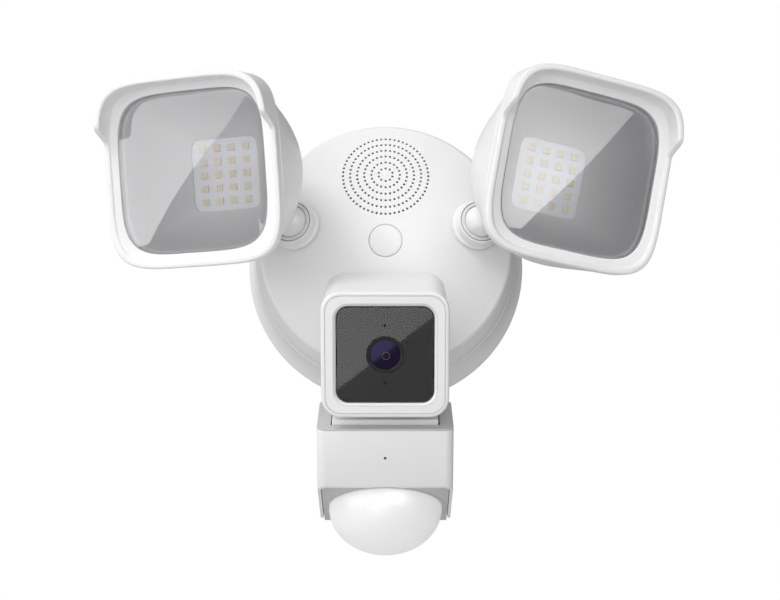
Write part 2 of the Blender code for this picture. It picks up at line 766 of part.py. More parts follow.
def make_speaker():
    point, outward = dome_point(0, SPEAKER_UP)
    turn = outward.to_track_quat("Z", "Y").to_matrix()
    frame = frame_at("speaker_frame", BASE, point, turn)
    sag = SPEAKER_RADIUS**2 / (2 * DOME_SPHERE)
    seal_top = -COVER_WALL - sag - GAP
    seal_foot = seal_top - 1.0 * MM
    inner = SPEAKER_RADIUS - SEAL_WIDTH
    seal = [
        (SPEAKER_RADIUS, seal_top),
        (SPEAKER_RADIUS, seal_foot),
        (inner, seal_foot),
        (inner, seal_top),
    ]
    turned("speaker_seal", seal, frame, "soft_rubber", SMALL_ROUND)
    rim = seal_foot - GAP
    basket = [
        (SPEAKER_RADIUS, rim),
        (SPEAKER_RADIUS, rim - 1.4 * MM),
        (SPEAKER_RADIUS - 2 * MM, rim - 1.4 * MM),
        (MAGNET_RADIUS + 1 * MM, rim - 7 * MM),
        (MAGNET_RADIUS - 2 * MM, rim - 7 * MM),
        (MAGNET_RADIUS - 2 * MM, rim - 6 * MM),
        (MAGNET_RADIUS + 0.6 * MM, rim - 6 * MM),
        (SPEAKER_RADIUS - 2.8 * MM, rim - 1.0 * MM),
        (SPEAKER_RADIUS - 2.8 * MM, rim),
    ]
    turned("speaker_basket", basket, frame, "black_plastic", SMALL_ROUND)
    cone_rim = SPEAKER_RADIUS - 2.8 * MM - GAP
    cone = [
        (0, rim - 2.0 * MM),
        (2.5 * MM, rim - 2.4 * MM),
        (4.5 * MM, rim - 3.6 * MM),
        (cone_rim - 1 * MM, rim - 0.1 * MM),
        (cone_rim, rim - 0.1 * MM),
        (cone_rim, rim - 0.7 * MM),
        (4.5 * MM, rim - 4.4 * MM),
        (2.5 * MM, rim - 3.0 * MM),
        (0, rim - 2.6 * MM),
    ]
    turned("speaker_cone", cone, frame, "soft_rubber", SMALL_ROUND)
    magnet_top = rim - 7 * MM - GAP
    rod("speaker_magnet", MAGNET_RADIUS, magnet_top - 5 * MM, magnet_top, frame, "zinc_steel", 32)


# ---------------------------------------------------------------- lamp sockets and ball studs

SIDES = {"left": -1, "right": 1}

SOCKET = {}
HEAD = {}
NECK = {}


def place_lamp_frames(side, sign):
    """Sets the socket, head and neck frames of one lamp, all tied to the centre of its ball."""
    seat, outward = dome_point(sign * SOCKET_OUT, SOCKET_UP)
    ball = seat + outward * BALL_STANDOFF
    yaw, pitch, roll = HEAD_AIM[side]
    turn = Matrix.Rotation(yaw, 3, "Y")
    turn = turn @ Matrix.Rotation(pitch, 3, "X")
    turn = turn @ Matrix.Rotation(roll, 3, "Z")
    ball_in_head = Vector((-sign * BALL_INWARD, -BALL_DOWN, -BALL_BACK))
    radial = Vector((ball_in_head.x, ball_in_head.y, 0)).normalized()
    neck_in_head = -radial * math.sin(NECK_LEAN) + Vector((0, 0, math.cos(NECK_LEAN)))
    neck = turn @ neck_in_head
    across = outward.cross(neck).normalized()

    SOCKET[side] = frame_at(f"socket_{side}", BASE, ball, axes_matrix(across, outward))
    NECK[side] = frame_at(f"neck_{side}", BASE, ball, axes_matrix(across, neck))
    HEAD[side] = frame_at(f"head_{side}", BASE, ball - turn @ ball_in_head, turn)


def axes_matrix(x_axis, z_axis):
    """A rotation with the given +X and +Z directions."""
    y_axis = z_axis.cross(x_axis)
    return Matrix((x_axis, y_axis, z_axis)).transposed()


def make_socket(side):
    frame = SOCKET[side]
    seat = -BALL_STANDOFF + GAP
    shelf = -CUP_FLOOR - 0.5 * MM
    foot = shelf - 1.6 * MM
    collar = [
        (COLLAR_RADIUS - 0.3 * MM, COLLAR_TOP),
        (COLLAR_RADIUS, COLLAR_TOP - 0.4 * MM),
        (COLLAR_RADIUS, seat + 1.6 * MM),
        (FLANGE_RADIUS - 0.3 * MM, seat + 1.4 * MM),
        (FLANGE_RADIUS, seat + 1.0 * MM),
        (FLANGE_RADIUS, seat),
        (COLLAR_RADIUS, seat),
        (COLLAR_RADIUS, foot),
        (5 * MM, foot),
        (5 * MM, shelf),
        (COLLAR_BORE, shelf),
        (COLLAR_BORE, COLLAR_TOP),
    ]
    turned(f"lamp_collar_{side}", collar, frame, "white_plastic", 24)
    top = -BALL_STANDOFF - COVER_WALL - 1.4 * MM
    nut = [
        (NUT_BORE + NUT_WALL, top),
        (NUT_BORE + NUT_WALL, top - NUT_THICKNESS),
        (NUT_BORE, top - NUT_THICKNESS),
        (NUT_BORE, top),
    ]
    turned(f"collar_nut_{side}", nut, frame, "nylon", SMALL_ROUND)
    cavity = BALL_RADIUS + GAP
    lowest = -math.acos(CUP_WIRE_HOLE / cavity)
    highest = math.asin(CUP_TOP / cavity)
    cup = [
        (CUP_RADIUS, CUP_TOP - 0.3 * MM),
        (CUP_RADIUS, -CUP_FLOOR),
        (CUP_WIRE_HOLE, -CUP_FLOOR),
        *arc(cavity, lowest, highest, 6),
        (CUP_RADIUS - 0.3 * MM, CUP_TOP),
    ]
    turned(f"swivel_cup_{side}", cup, frame, "nylon", SMALL_ROUND)


def make_ball_stud(side):
    frame = NECK[side]
    spigot_end = BOSS_END + 2.0 * MM
    ball_from = math.acos(STEM_RADIUS / BALL_RADIUS)
    ball_to = -math.acos(WIRE_BORE_RADIUS / BALL_RADIUS)
    profile = [
        (SPIGOT_RADIUS, spigot_end),
        (SPIGOT_RADIUS, STUB_TOP),
        (STUB_RADIUS - 0.3 * MM, STUB_TOP),
        (STUB_RADIUS, STUB_TOP - 0.3 * MM),
        (STUB_RADIUS, STUB_BASE + 0.5 * MM),
        (STUB_RADIUS - 0.5 * MM, STUB_BASE),
        (STEM_RADIUS, STUB_BASE),
        *arc(BALL_RADIUS, ball_from, ball_to, 8),
        (WIRE_BORE_RADIUS, spigot_end),
    ]
    turned(f"ball_stud_{side}", profile, frame, "white_plastic", SMALL_ROUND)
    clip = [
        (SPIGOT_RADIUS + 1.6 * MM, BOSS_END + GAP + 1.0 * MM),
        (SPIGOT_RADIUS + 1.6 * MM, BOSS_END + GAP),
        (SPIGOT_RADIUS + GAP, BOSS_END + GAP),
        (SPIGOT_RADIUS + GAP, BOSS_END + GAP + 1.0 * MM),
    ]
    turned(f"neck_clip_{side}", clip, frame, "zinc_steel", SMALL_ROUND)


# ---------------------------------------------------------------- lamp heads

BOWL_SHARES = (0.0, 0.2, 0.4, 0.57, 0.715, 0.843, 0.938, 1.0)  # of the bowl's depth, at each section


def bowl_ring(back, half, depth):
    """One section of the bowl: square with round corners at the front, round at the back."""
    size = half * (1 - (back / depth) ** 4) ** (1 / 1.5)
    exponent = 1.9 + (HEAD_CORNER - 1.9) * math.exp(-back / (9.4 * MM))
    return squircle(size, exponent, -back)


def make_head_shell(side):
    frame = HEAD[side]
    front = FRAME_DEPTH + GAP
    outer_end = HEAD_DEPTH - 1.2 * MM
    inner_depth = HEAD_DEPTH - HEAD_WALL
    inner_end = inner_depth - 1.6 * MM
    outer = [bowl_ring(front + t * (outer_end - front), HEAD_HALF, HEAD_DEPTH) for t in BOWL_SHARES]
    inside = HEAD_HALF - HEAD_WALL
    inner = [bowl_ring(front + t * (inner_end - front), inside, inner_depth) for t in BOWL_SHARES]
    shell = loft(f"head_shell_{side}", outer[::-1] + inner, frame, "white_plastic")
    flat = rod(f"head_facet_{side}", STUB_RADIUS + 0.4 * MM, 0, BOSS_FACE, NECK[side], sides=24)
    boss = rod(f"head_boss_{side}", STUB_RADIUS + 0.8 * MM, BOSS_FACE, BOSS_END, NECK[side], sides=24)
    bore = rod(f"head_bore_{side}", SPIGOT_RADIUS + GAP, 0, BOSS_END + 8 * MM, NECK[side])
    subtract(shell, flat)
    unite(shell, boss)
    subtract(shell, bore)


def visor_height(y):
    """The rim's front edge: low at the bottom and sides, and swept forward into the visor on top."""
    t = min(max((y - VISOR_FROM) / (VISOR_FULL - VISOR_FROM), 0), 1)
    return RIM_HEIGHT + (VISOR_REACH - RIM_HEIGHT) * t * t * (3 - 2 * t)


def make_head_frame(side):
    opening = WINDOW_HALF + GAP
    rings = [
        squircle(HEAD_HALF, HEAD_CORNER, -FRAME_DEPTH, 48),
        squircle(HEAD_HALF, HEAD_CORNER, 0, 48),
        squircle(HEAD_HALF - 0.5 * MM, HEAD_CORNER, 0, 48, visor_height),
        squircle(HEAD_HALF - RIM_WALL, HEAD_CORNER, 0, 48, visor_height),
        squircle(HEAD_HALF - RIM_WALL - 0.5 * MM, HEAD_CORNER, 0, 48),
        squircle(opening, WINDOW_CORNER, 0, 48),
        squircle(opening, WINDOW_CORNER, -FRAME_DEPTH, 48),
    ]
    loft(f"head_frame_{side}", rings, HEAD[side], "white_plastic", looped=True)


def make_window(side):
    front = -0.3 * MM
    back = front - WINDOW_THICKNESS
    rings = [
        squircle(WINDOW_HALF, WINDOW_CORNER, back, 48),
        squircle(WINDOW_HALF, WINDOW_CORNER, front - 0.3 * MM, 48),
        squircle(WINDOW_HALF - 0.3 * MM, WINDOW_CORNER, front, 48),
    ]
    loft(f"lamp_window_{side}", rings, HEAD[side], "clear_window")
    return -FRAME_DEPTH - GAP


def make_reflector(side, front):
    """A square funnel from the window down to the lamp plate, with a flange under the seal."""
    back = front - REFLECTOR_DEPTH
    mouth = WINDOW_HALF - 1.4 * MM
    throat = LED_PLATE_HALF + 0.4 * MM
    flange = HEAD_HALF - HEAD_WALL - 1.0 * MM
    rings = [
        squircle(flange, FLANGE_CORNER, front),
        squircle(mouth, WINDOW_CORNER, front),
        squircle(throat, 10, back),
        squircle(throat + REFLECTOR_WALL, 10, back),
        squircle(mouth + REFLECTOR_WALL, WINDOW_CORNER, front - REFLECTOR_WALL),
        squircle(flange, FLANGE_CORNER, front - REFLECTOR_WALL),
    ]
    loft(f"reflector_{side}", rings, HEAD[side], "reflector_white", looped=True)
    return back


def make_led_board(side, reflector_back):
    half = LED_PLATE_HALF + 1.6 * MM
    front = reflector_back - GAP
    back = front - LED_BOARD_THICKNESS
    board = block(
        f"led_board_{side}", (-half, -half, back), (half, half, front), HEAD[side], "led_board"
    )
    for row in range(LED_ROWS):
        for column in range(LED_COLUMNS):
            x = (column - (LED_COLUMNS - 1) / 2) * LED_COLUMN_PITCH
            y = (row - (LED_ROWS - 1) / 2) * LED_ROW_PITCH
            chip = block(
                f"led_chip_{side}_{row}_{column}",
                (x - LED_CHIP / 2, y - LED_CHIP / 2, front - 0.4 * MM),
                (x + LED_CHIP / 2, y + LED_CHIP / 2, front + LED_CHIP_HEIGHT),
                HEAD[side],
            )
            unite(board, chip)
    return back


def make_heat_sink(side, board_back):
    top = board_back - GAP
    foot = top - HEAT_SINK_DEPTH
    sink = rod(f"heat_sink_{side}", HEAT_SINK_RADIUS, foot, top, HEAD[side], "aluminium", 32)
    for index in range(5):
        x = (index - 2) * 5.2 * MM
        slot = block(
            f"sink_slot_{side}_{index}",
            (x - 1.6 * MM, -30 * MM, foot - 1 * MM),
            (x + 1.6 * MM, 30 * MM, top - 2.2 * MM),
            HEAD[side],
        )
        subtract(sink, slot)


# ---------------------------------------------------------------- arm and sensor box

ARM = frame_at(
    "arm_hinge", BASE, (0, -ARM_DROP, ARM_FORWARD), Matrix.Rotation(ARM_PITCH, 3, "X")
)
PAN = frame_at("pan_hinge", ARM, (0, -PAN_DROP, PAN_REACH))
BOX = frame_at("sensor_box_frame", PAN, (0, PAN_BELOW, PAN_BEHIND))

REACH = 60.0 * MM  # of a cutter that clears the whole box
FOOT_DEPTH = BOX_DEPTH - BOX_TAPER
SLOPE = math.atan2(BOX_HEIGHT - BOX_FRONT, FOOT_DEPTH)
SLOPE_LENGTH = math.hypot(BOX_HEIGHT - BOX_FRONT, FOOT_DEPTH)
# The sloping face's frame: origin on the front lower edge, +Y up the slope and +Z out of the face
FACE = frame_at(
    "sensor_face_frame", BOX, (0, -BOX_FRONT, 0), Matrix.Rotation(90 * DEG - SLOPE, 3, "X")
)


def make_sensor_arm():
    arm = rod(
        "sensor_arm",
        ARM_KNUCKLE_RADIUS,
        -ARM_TONGUE_HALF,
        ARM_TONGUE_HALF,
        ARM,
        "white_plastic",
        axis="X",
    )
    barrel = rod("arm_barrel", PAN_BARREL_RADIUS, -PAN_BARREL_HALF, PAN_BARREL_HALF, PAN, axis="Y")
    neck = block(
        "arm_neck",
        (-4.2 * MM, -PAN_DROP - 4.6 * MM, 0),
        (4.2 * MM, 0.4 * MM, PAN_REACH),
        ARM,
        rounding=0.8 * MM,
    )
    unite(arm, neck, barrel)
    hinge_bore = rod(
        "arm_hinge_bore", ARM_PIN_RADIUS + GAP, -20 * MM, 20 * MM, ARM, axis="X"
    )
    pan_bore = rod("arm_pan_bore", PAN_PIN_RADIUS + GAP, -20 * MM, 20 * MM, PAN, axis="Y")
    subtract(arm, hinge_bore, pan_bore)


def box_section(inset, height):
    """The box's outline seen from above, at one height, stepped in by a wall."""
    half_depth = BOX_DEPTH / 2
    ring = rounded_rectangle(BOX_WIDTH / 2 - inset, half_depth - inset, BOX_CORNER - inset * 0.6, 0)
    return [Vector((p.x, height, p.y - half_depth)) for p in ring]


def slope_cutter(name):
    """Everything in front of and below the box's sloping face."""
    return block(name, (-REACH, -2 * REACH, 0), (REACH, REACH, REACH), FACE)


def back_cutter(name, inset):
    """Everything behind the box's raked back wall."""
    rake = math.atan2(BOX_TAPER, BOX_HEIGHT)
    matrix = Matrix.Translation((0, 0, inset - BOX_DEPTH)) @ Matrix.Rotation(rake, 4, "X")
    return block(name, (-REACH, -2 * REACH, -REACH), (REACH, REACH, 0), BOX, matrix=matrix)


def make_sensor_shell():
    top = -LID_THICKNESS - GAP
    foot = -BOX_HEIGHT
    shell = loft(
        "sensor_shell", [box_section(0, top), box_section(0, foot)], BOX, "white_plastic"
    )
    hollow = loft(
        "sensor_hollow",
        [box_section(BOX_WALL, 10 * MM), box_section(BOX_WALL, foot - 10 * MM)],
        BOX,
    )
    subtract(hollow, back_cutter("hollow_back", BOX_WALL))
    subtract(shell, back_cutter("shell_back", 0), hollow, slope_cutter("shell_slope"))
    make_pan_ears(shell)
    return shell


def make_pan_ears(shell):
    wall = BOX_TAPER * PAN_BELOW / BOX_HEIGHT - BOX_DEPTH + BOX_WALL / 2
    half = PAN_BARREL_RADIUS
    inner = PAN_BARREL_HALF + GAP
    for side in (-1, 1):
        near = side * inner
        far = side * (inner + PAN_EAR_THICKNESS)
        low, high = sorted((near, far))
        lug = rod(f"pan_lug_{side}", half, low, high, PAN, axis="Y")
        root = block(f"pan_ear_{side}", (-half, low, 0), (half, high, wall + PAN_BEHIND), PAN)
        unite(shell, lug, root)
    bore = rod("pan_ear_bore", PAN_PIN_RADIUS + GAP, -20 * MM, 20 * MM, PAN, axis="Y")
    subtract(shell, bore)


def make_pan_pin():
    reach = PAN_BARREL_HALF + GAP + PAN_EAR_THICKNESS
    head = PAN_PIN_RADIUS + 1.2 * MM
    profile = [
        (0, reach + 1.6 * MM),
        (head - 0.4 * MM, reach + 1.6 * MM),
        (head, reach + 1.2 * MM),
        (head, reach + GAP),
        (PAN_PIN_RADIUS, reach + GAP),
        (PAN_PIN_RADIUS, -reach),
        (PAN_PIN_RADIUS - 0.4 * MM, -reach - 0.4 * MM),
        (0, -reach - 0.4 * MM),
    ]
    matrix = Matrix.Rotation(-90 * DEG, 4, "X")
    turned("pan_pin", profile, PAN, "zinc_steel", SMALL_ROUND, matrix)


def make_sensor_lid():
    lid = loft(
        "sensor_lid", [box_section(0, 0), box_section(0, -LID_THICKNESS)], BOX, "grey_plastic"
    )
    wall = 1.4 * MM
    well = block(
        "lid_well",
        (-SLOT_HALF - wall, -WELL_DEPTH - wall, -SLOT_BACK - wall),
        (SLOT_HALF + wall, -0.5 * MM, -SLOT_FRONT + wall),
        BOX,
    )
    slot = block(
        "lid_slot", (-SLOT_HALF, -WELL_DEPTH, -SLOT_BACK), (SLOT_HALF, 5 * MM, -SLOT_FRONT), BOX
    )
    unite(lid, well)
    subtract(lid, slot)


def make_camera_foot():
    """A wedge-topped block that fills the lid's slot and carries the camera's hinge tongue."""
    front = -SLOT_FRONT - GAP
    back = -SLOT_BACK + GAP
    foot = -WELL_DEPTH + GAP
    outline = [(foot, front), (FOOT_FRONT_TOP, front), (FOOT_BACK_TOP, back), (foot, back)]
    half = SLOT_HALF - GAP
    base = prism("camera_foot", outline, -half, half, BOX, "white_plastic")
    circle = arc(HINGE_TONGUE_RADIUS, 0, 180 * DEG, 10)
    tip = [(HINGE_ABOVE_LID + s, -HINGE_IN_SLOT + c) for c, s in circle]
    outline = [(-2 * MM, -HINGE_IN_SLOT + HINGE_TONGUE_RADIUS), *tip]
    outline.append((-2 * MM, -HINGE_IN_SLOT - HINGE_TONGUE_RADIUS))
    tongue = prism("foot_tongue", outline, -HINGE_TONGUE_HALF, HINGE_TONGUE_HALF, BOX)
    unite(base, tongue)
    bore = rod("foot_bore", HINGE_PIN_RADIUS + GAP, -30 * MM, 30 * MM, CAMERA_HINGE, axis="X")
    subtract(base, bore)


DOME_CENTRE_ON_FACE = (0, -DOME_FROM_FRONT, 0)


def pod_rod(name, radius, low, high):
    return rod(name, radius, low, high, FACE, sides=ROUND, centre=DOME_CENTRE_ON_FACE)


def make_sensor_core(shell):
    """The grey plate in the sloping opening, and the round pod on it that holds the dome."""
    half = BOX_WIDTH / 2
    pod = DOME_RADIUS + GAP + POD_WALL
    core = block(
        "sensor_core",
        (-half, -SLOPE_LENGTH - 4 * MM, -2.2 * MM),
        (half, 5 * MM, -0.4 * MM),
        FACE,
        "grey_plastic",
    )
    fit = BOX_WALL + GAP
    room = [box_section(fit, 10 * MM), box_section(fit, -BOX_HEIGHT - 10 * MM)]
    keep_inside(core, loft("core_room", room, BOX))
    subtract(core, back_cutter("core_back", BOX_WALL + GAP))
    unite(core, pod_rod("pod_body", pod, -POD_HEIGHT, 0))
    subtract(
        core,
        pod_rod("pod_seat", DOME_RADIUS + GAP, -DOME_SKIRT - GAP, 10 * MM),
        pod_rod("pod_hollow", DOME_RADIUS - POD_WALL, POD_WALL - POD_HEIGHT, 10 * MM),
    )
    subtract(shell, pod_rod("pod_room", pod + GAP, -POD_HEIGHT - GAP, 10 * MM))


def half_egg(name, radius, depth, finish=None, foot=0.0):
    """The dome's form: a quarter ellipse turned about the face's normal, with a skirt behind it."""
    profile = [(0, depth)]
    for i in range(1, 7):
        angle = 90 * DEG * i / 6
        profile.append((radius * math.sin(angle), depth * math.cos(angle)))
    profile += [(radius, -foot), (0, -foot)]
    matrix = Matrix.Translation(DOME_CENTRE_ON_FACE)
    return turned(name, profile, FACE, finish, 32, matrix)


def make_sensor_dome():
    dome = half_egg("sensor_dome", DOME_RADIUS, DOME_DEPTH, "dome_plastic", DOME_SKIRT)
    hollow = half_egg(
        "dome_hollow", DOME_RADIUS - DOME_WALL, DOME_DEPTH - DOME_WALL, None, 12.0 * MM
    )
    subtract(dome, hollow)


def make_sensor_element():
    floor = POD_WALL - POD_HEIGHT + GAP
    top = floor + BOARD_THICKNESS
    rod(
        "sensor_board",
        DOME_RADIUS - 6.8 * MM,
        floor,
        top,
        FACE,
        "circuit_board",
        28,
        centre=DOME_CENTRE_ON_FACE,
    )
    rod(
        "heat_sensor",
        HEAT_SENSOR_RADIUS,
        top + GAP,
        top + HEAT_SENSOR_HEIGHT,
        FACE,
        "zinc_steel",
        centre=DOME_CENTRE_ON_FACE,
    )


# ---------------------------------------------------------------- camera cube

CAMERA_HINGE = frame_at(
    "camera_hinge",
    BOX,
    (0, HINGE_ABOVE_LID, -HINGE_IN_SLOT),
    Matrix.Rotation(-CAMERA_PITCH, 3, "X"),
)
# The camera's frame: origin in the middle of its front face
CAMERA = frame_at("camera_frame", CAMERA_HINGE, (0, CAMERA_HALF - HINGE_UP, HINGE_BACK))


def make_camera_case():
    half = CAMERA_HALF
    opening = CAMERA_WINDOW_HALF + GAP
    chamfer = 1.2 * MM
    bezel = [
        rounded_rectangle(half, half, CAMERA_CORNER, -BEZEL_DEPTH),
        rounded_rectangle(half, half, CAMERA_CORNER, -0.8 * MM),
        rounded_rectangle(half - 0.8 * MM, half - 0.8 * MM, CAMERA_CORNER - 0.8 * MM, 0),
        rounded_rectangle(opening + chamfer, opening + chamfer, CAMERA_WINDOW_CORNER + chamfer, 0),
        rounded_rectangle(opening, opening, CAMERA_WINDOW_CORNER + GAP, -1.0 * MM),
        rounded_rectangle(opening, opening, CAMERA_WINDOW_CORNER + GAP, -BEZEL_DEPTH),
    ]
    loft("camera_bezel", bezel, CAMERA, "white_plastic", looped=True)
    front = -BEZEL_DEPTH - GAP
    body = half - CAMERA_STEP
    inside = body - CAMERA_WALL
    rear = -CAMERA_DEPTH
    corner = CAMERA_CORNER - CAMERA_STEP
    inner_corner = corner - CAMERA_WALL
    shell = [
        rounded_rectangle(body - 4.0 * MM, body - 4.0 * MM, corner - 4.0 * MM, rear),
        rounded_rectangle(body - 1.2 * MM, body - 1.2 * MM, corner - 1.2 * MM, rear + 1.2 * MM),
        rounded_rectangle(body, body, corner, rear + 4.0 * MM),
        rounded_rectangle(body, body, corner, front),
        rounded_rectangle(inside, inside, inner_corner, front),
        rounded_rectangle(inside, inside, inner_corner, rear + CAMERA_WALL),
    ]
    case = loft("camera_shell", shell, CAMERA, "white_plastic")
    room = HINGE_TONGUE_RADIUS + 2.2 * MM
    hinge_opening = block(
        "hinge_opening",
        (-HINGE_TONGUE_HALF - 1 * MM, -8 * MM, -room),
        (HINGE_TONGUE_HALF + 1 * MM, 1 * MM, room),
        CAMERA_HINGE,
    )
    subtract(case, hinge_opening)


def make_camera_face():
    front = -0.6 * MM
    back = front - CAMERA_WINDOW_THICKNESS
    corner = CAMERA_WINDOW_CORNER
    rings = [
        rounded_rectangle(CAMERA_WINDOW_HALF, CAMERA_WINDOW_HALF, corner, back),
        rounded_rectangle(CAMERA_WINDOW_HALF, CAMERA_WINDOW_HALF, corner, front),
    ]
    window = loft("camera_window", rings, CAMERA, "black_gloss")
    hole = rod("lens_hole", LENS_RING_RADIUS + GAP, -20 * MM, 5 * MM, CAMERA, sides=32)
    subtract(window, hole)
    ring = [
        (LENS_RING_RADIUS - 0.3 * MM, front + 0.1 * MM),
        (LENS_RING_RADIUS, front - 0.2 * MM),
        (LENS_RING_RADIUS, back - 2.2 * MM),
        (LENS_RADIUS + GAP, back - 2.2 * MM),
        (LENS_RADIUS + GAP, front - 0.6 * MM),
        (LENS_RADIUS + 0.7 * MM, front + 0.1 * MM),
    ]
    turned("lens_ring", ring, CAMERA, "black_plastic", 24)
    lens_edge = front - 1.6 * MM
    lens = [
        (0, lens_edge + 1.2 * MM),
        (0.35 * LENS_RADIUS, lens_edge + 1.05 * MM),
        (0.7 * LENS_RADIUS, lens_edge + 0.6 * MM),
        (LENS_RADIUS, lens_edge),
        (LENS_RADIUS, lens_edge - 1.0 * MM),
        (0, lens_edge - 1.0 * MM),
    ]
    turned("front_lens", lens, CAMERA, "lens_glass", 24)
    barrel_top = back - 2.2 * MM - GAP
    barrel_end = barrel_top - BARREL_LENGTH
    barrel = [
        (LENS_RING_RADIUS, barrel_top),
        (LENS_RING_RADIUS, barrel_end),
        (4.0 * MM, barrel_end),
        (4.0 * MM, barrel_end + 4 * MM),
        (5.2 * MM, barrel_top),
    ]
    turned("lens_barrel", barrel, CAMERA, "black_plastic", SMALL_ROUND)
    return barrel_end - GAP


def make_camera_boards(board_front):
    """Two boards behind the lens, both clear of the hinge saddle below them."""
    half = CAMERA_HALF - CAMERA_STEP - CAMERA_WALL - 2.2 * MM
    foot = -CAMERA_HALF + HINGE_UP + SADDLE_ROOF + SADDLE_SHEET + 1.3 * MM
    for name, front in (
        ("image_board", board_front),
        ("camera_main_board", board_front - BOARD_SPACING),
    ):
        low = (-half, foot, front - BOARD_THICKNESS)
        block(name, low, (half, half, front), CAMERA, "circuit_board")


def make_camera_hinge():
    """A pressed steel saddle inside the case, and the pin that joins it to the foot's tongue."""
    cheek = HINGE_TONGUE_HALF + 0.7 * MM
    side = cheek + SADDLE_SHEET
    floor = -HINGE_UP + CAMERA_STEP + CAMERA_WALL + GAP
    foot = floor + 0.9 * MM
    wing = side + 5 * MM
    outline = [
        (-wing, floor),
        (-cheek, floor),
        (-cheek, SADDLE_ROOF),
        (cheek, SADDLE_ROOF),
        (cheek, floor),
        (wing, floor),
        (wing, foot),
        (side, foot),
        (side, SADDLE_ROOF + SADDLE_SHEET),
        (-side, SADDLE_ROOF + SADDLE_SHEET),
        (-side, foot),
        (-wing, foot),
    ]
    turn = Matrix.Rotation(-90 * DEG, 4, "Y") @ Matrix.Rotation(-90 * DEG, 4, "X")
    saddle = prism("hinge_saddle", outline, -4.6 * MM, 4.6 * MM, CAMERA_HINGE, "zinc_steel", turn)
    bore = rod("saddle_bore", HINGE_PIN_RADIUS + GAP, -30 * MM, 30 * MM, CAMERA_HINGE, axis="X")
    subtract(saddle, bore)
    head = HINGE_PIN_RADIUS + 0.8 * MM
    pin = [
        (0, side + GAP + 0.9 * MM),
        (head, side + GAP + 0.9 * MM),
        (head, side + GAP),
        (HINGE_PIN_RADIUS, side + GAP),
        (HINGE_PIN_RADIUS, -side - 0.8 * MM),
        (0, -side - 0.8 * MM),
    ]
    matrix = Matrix.Rotation(90 * DEG, 4, "Y")
    turned("camera_hinge_pin", pin, CAMERA_HINGE, "zinc_steel", 16, matrix)


# ---------------------------------------------------------------- build

for side, sign in SIDES.items():
    place_lamp_frames(side, sign)

make_wall_gasket()
make_bracket()
make_rear_housing()
make_cable_grommet()
make_front_cover()
make_arm_pin()
make_case_screws()
make_hanging_screw()
make_screw_plug()
make_electronics()
make_speaker()

for side in SIDES:
    make_socket(side)
    make_ball_stud(side)
    make_head_shell(side)
    make_head_frame(side)
    reflector_front = make_window(side)
    reflector_back = make_reflector(side, reflector_front)
    board_back = make_led_board(side, reflector_back)
    make_heat_sink(side, board_back)

make_sensor_arm()
sensor_shell = make_sensor_shell()
make_pan_pin()
make_sensor_lid()
make_camera_foot()
make_sensor_core(sensor_shell)
make_sensor_dome()
make_sensor_element()

make_camera_case()
make_camera_boards(make_camera_face())
make_camera_hinge()
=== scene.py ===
"""Floodlight security camera on its round wall base, with two aimable lamp heads."""

import json
import math

import bmesh
import bpy
from mathutils import Matrix, Vector


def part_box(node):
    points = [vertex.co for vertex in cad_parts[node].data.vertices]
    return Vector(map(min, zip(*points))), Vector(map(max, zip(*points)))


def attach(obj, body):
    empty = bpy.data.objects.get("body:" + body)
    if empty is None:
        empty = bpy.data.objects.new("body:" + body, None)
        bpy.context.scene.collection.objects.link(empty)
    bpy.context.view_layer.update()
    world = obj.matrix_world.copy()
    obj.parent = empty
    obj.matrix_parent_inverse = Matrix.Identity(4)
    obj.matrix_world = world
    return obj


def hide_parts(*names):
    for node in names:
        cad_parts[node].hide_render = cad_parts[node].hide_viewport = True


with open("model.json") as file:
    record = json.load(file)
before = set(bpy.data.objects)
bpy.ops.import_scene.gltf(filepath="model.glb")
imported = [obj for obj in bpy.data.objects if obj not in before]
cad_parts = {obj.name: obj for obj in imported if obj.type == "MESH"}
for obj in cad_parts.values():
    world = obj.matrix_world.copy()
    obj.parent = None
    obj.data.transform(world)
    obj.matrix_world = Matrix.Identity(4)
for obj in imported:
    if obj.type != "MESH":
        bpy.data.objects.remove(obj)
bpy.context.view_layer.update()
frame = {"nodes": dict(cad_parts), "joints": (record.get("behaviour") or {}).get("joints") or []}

MM = 0.001
DEG = math.radians(1)
GAP = 0.3 * MM
joints = {joint["name"]: joint for joint in frame["joints"]}


# ---- Rear housing ----
# A tapered drum moulded in white UV-stable plastic, with a rolled lip that closes on the wall.
# Its floor carries the cable entry, and an inner lip centres the front cover on it.

BASE = Matrix.Rotation(90 * DEG, 4, "X")
ACROSS = Matrix.Rotation(90 * DEG, 4, "Y")
UPRIGHT = Matrix.Rotation(-90 * DEG, 4, "X")
LIP_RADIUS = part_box("rear_housing")[1].x
LIP_BACK = -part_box("rear_housing")[1].y
SEAM_RADIUS = 59.4 * MM
SEAM_HEIGHT = 26.0 * MM
HOUSING_WALL = 2.2 * MM
COVER_WALL = 2.4 * MM
FLOOR_BACK = 3.3 * MM
FLOOR_FRONT = 6.3 * MM
SCREW_TUBE_BORE = 2.6 * MM
CABLE_AT = Vector((20 * MM, 23 * MM, 0))
CABLE_HOLE_RADIUS = 7.5 * MM


def link(name, data):
    thing = bpy.data.objects.new(name, data)
    bpy.context.scene.collection.objects.link(thing)
    return thing


def shade(mesh, sharp=32):
    """Smooth shading, with edges kept crisp where faces meet at more than the sharp angle."""
    mesh.shade_smooth()
    mesh.set_sharp_from_angle(angle=sharp * DEG)


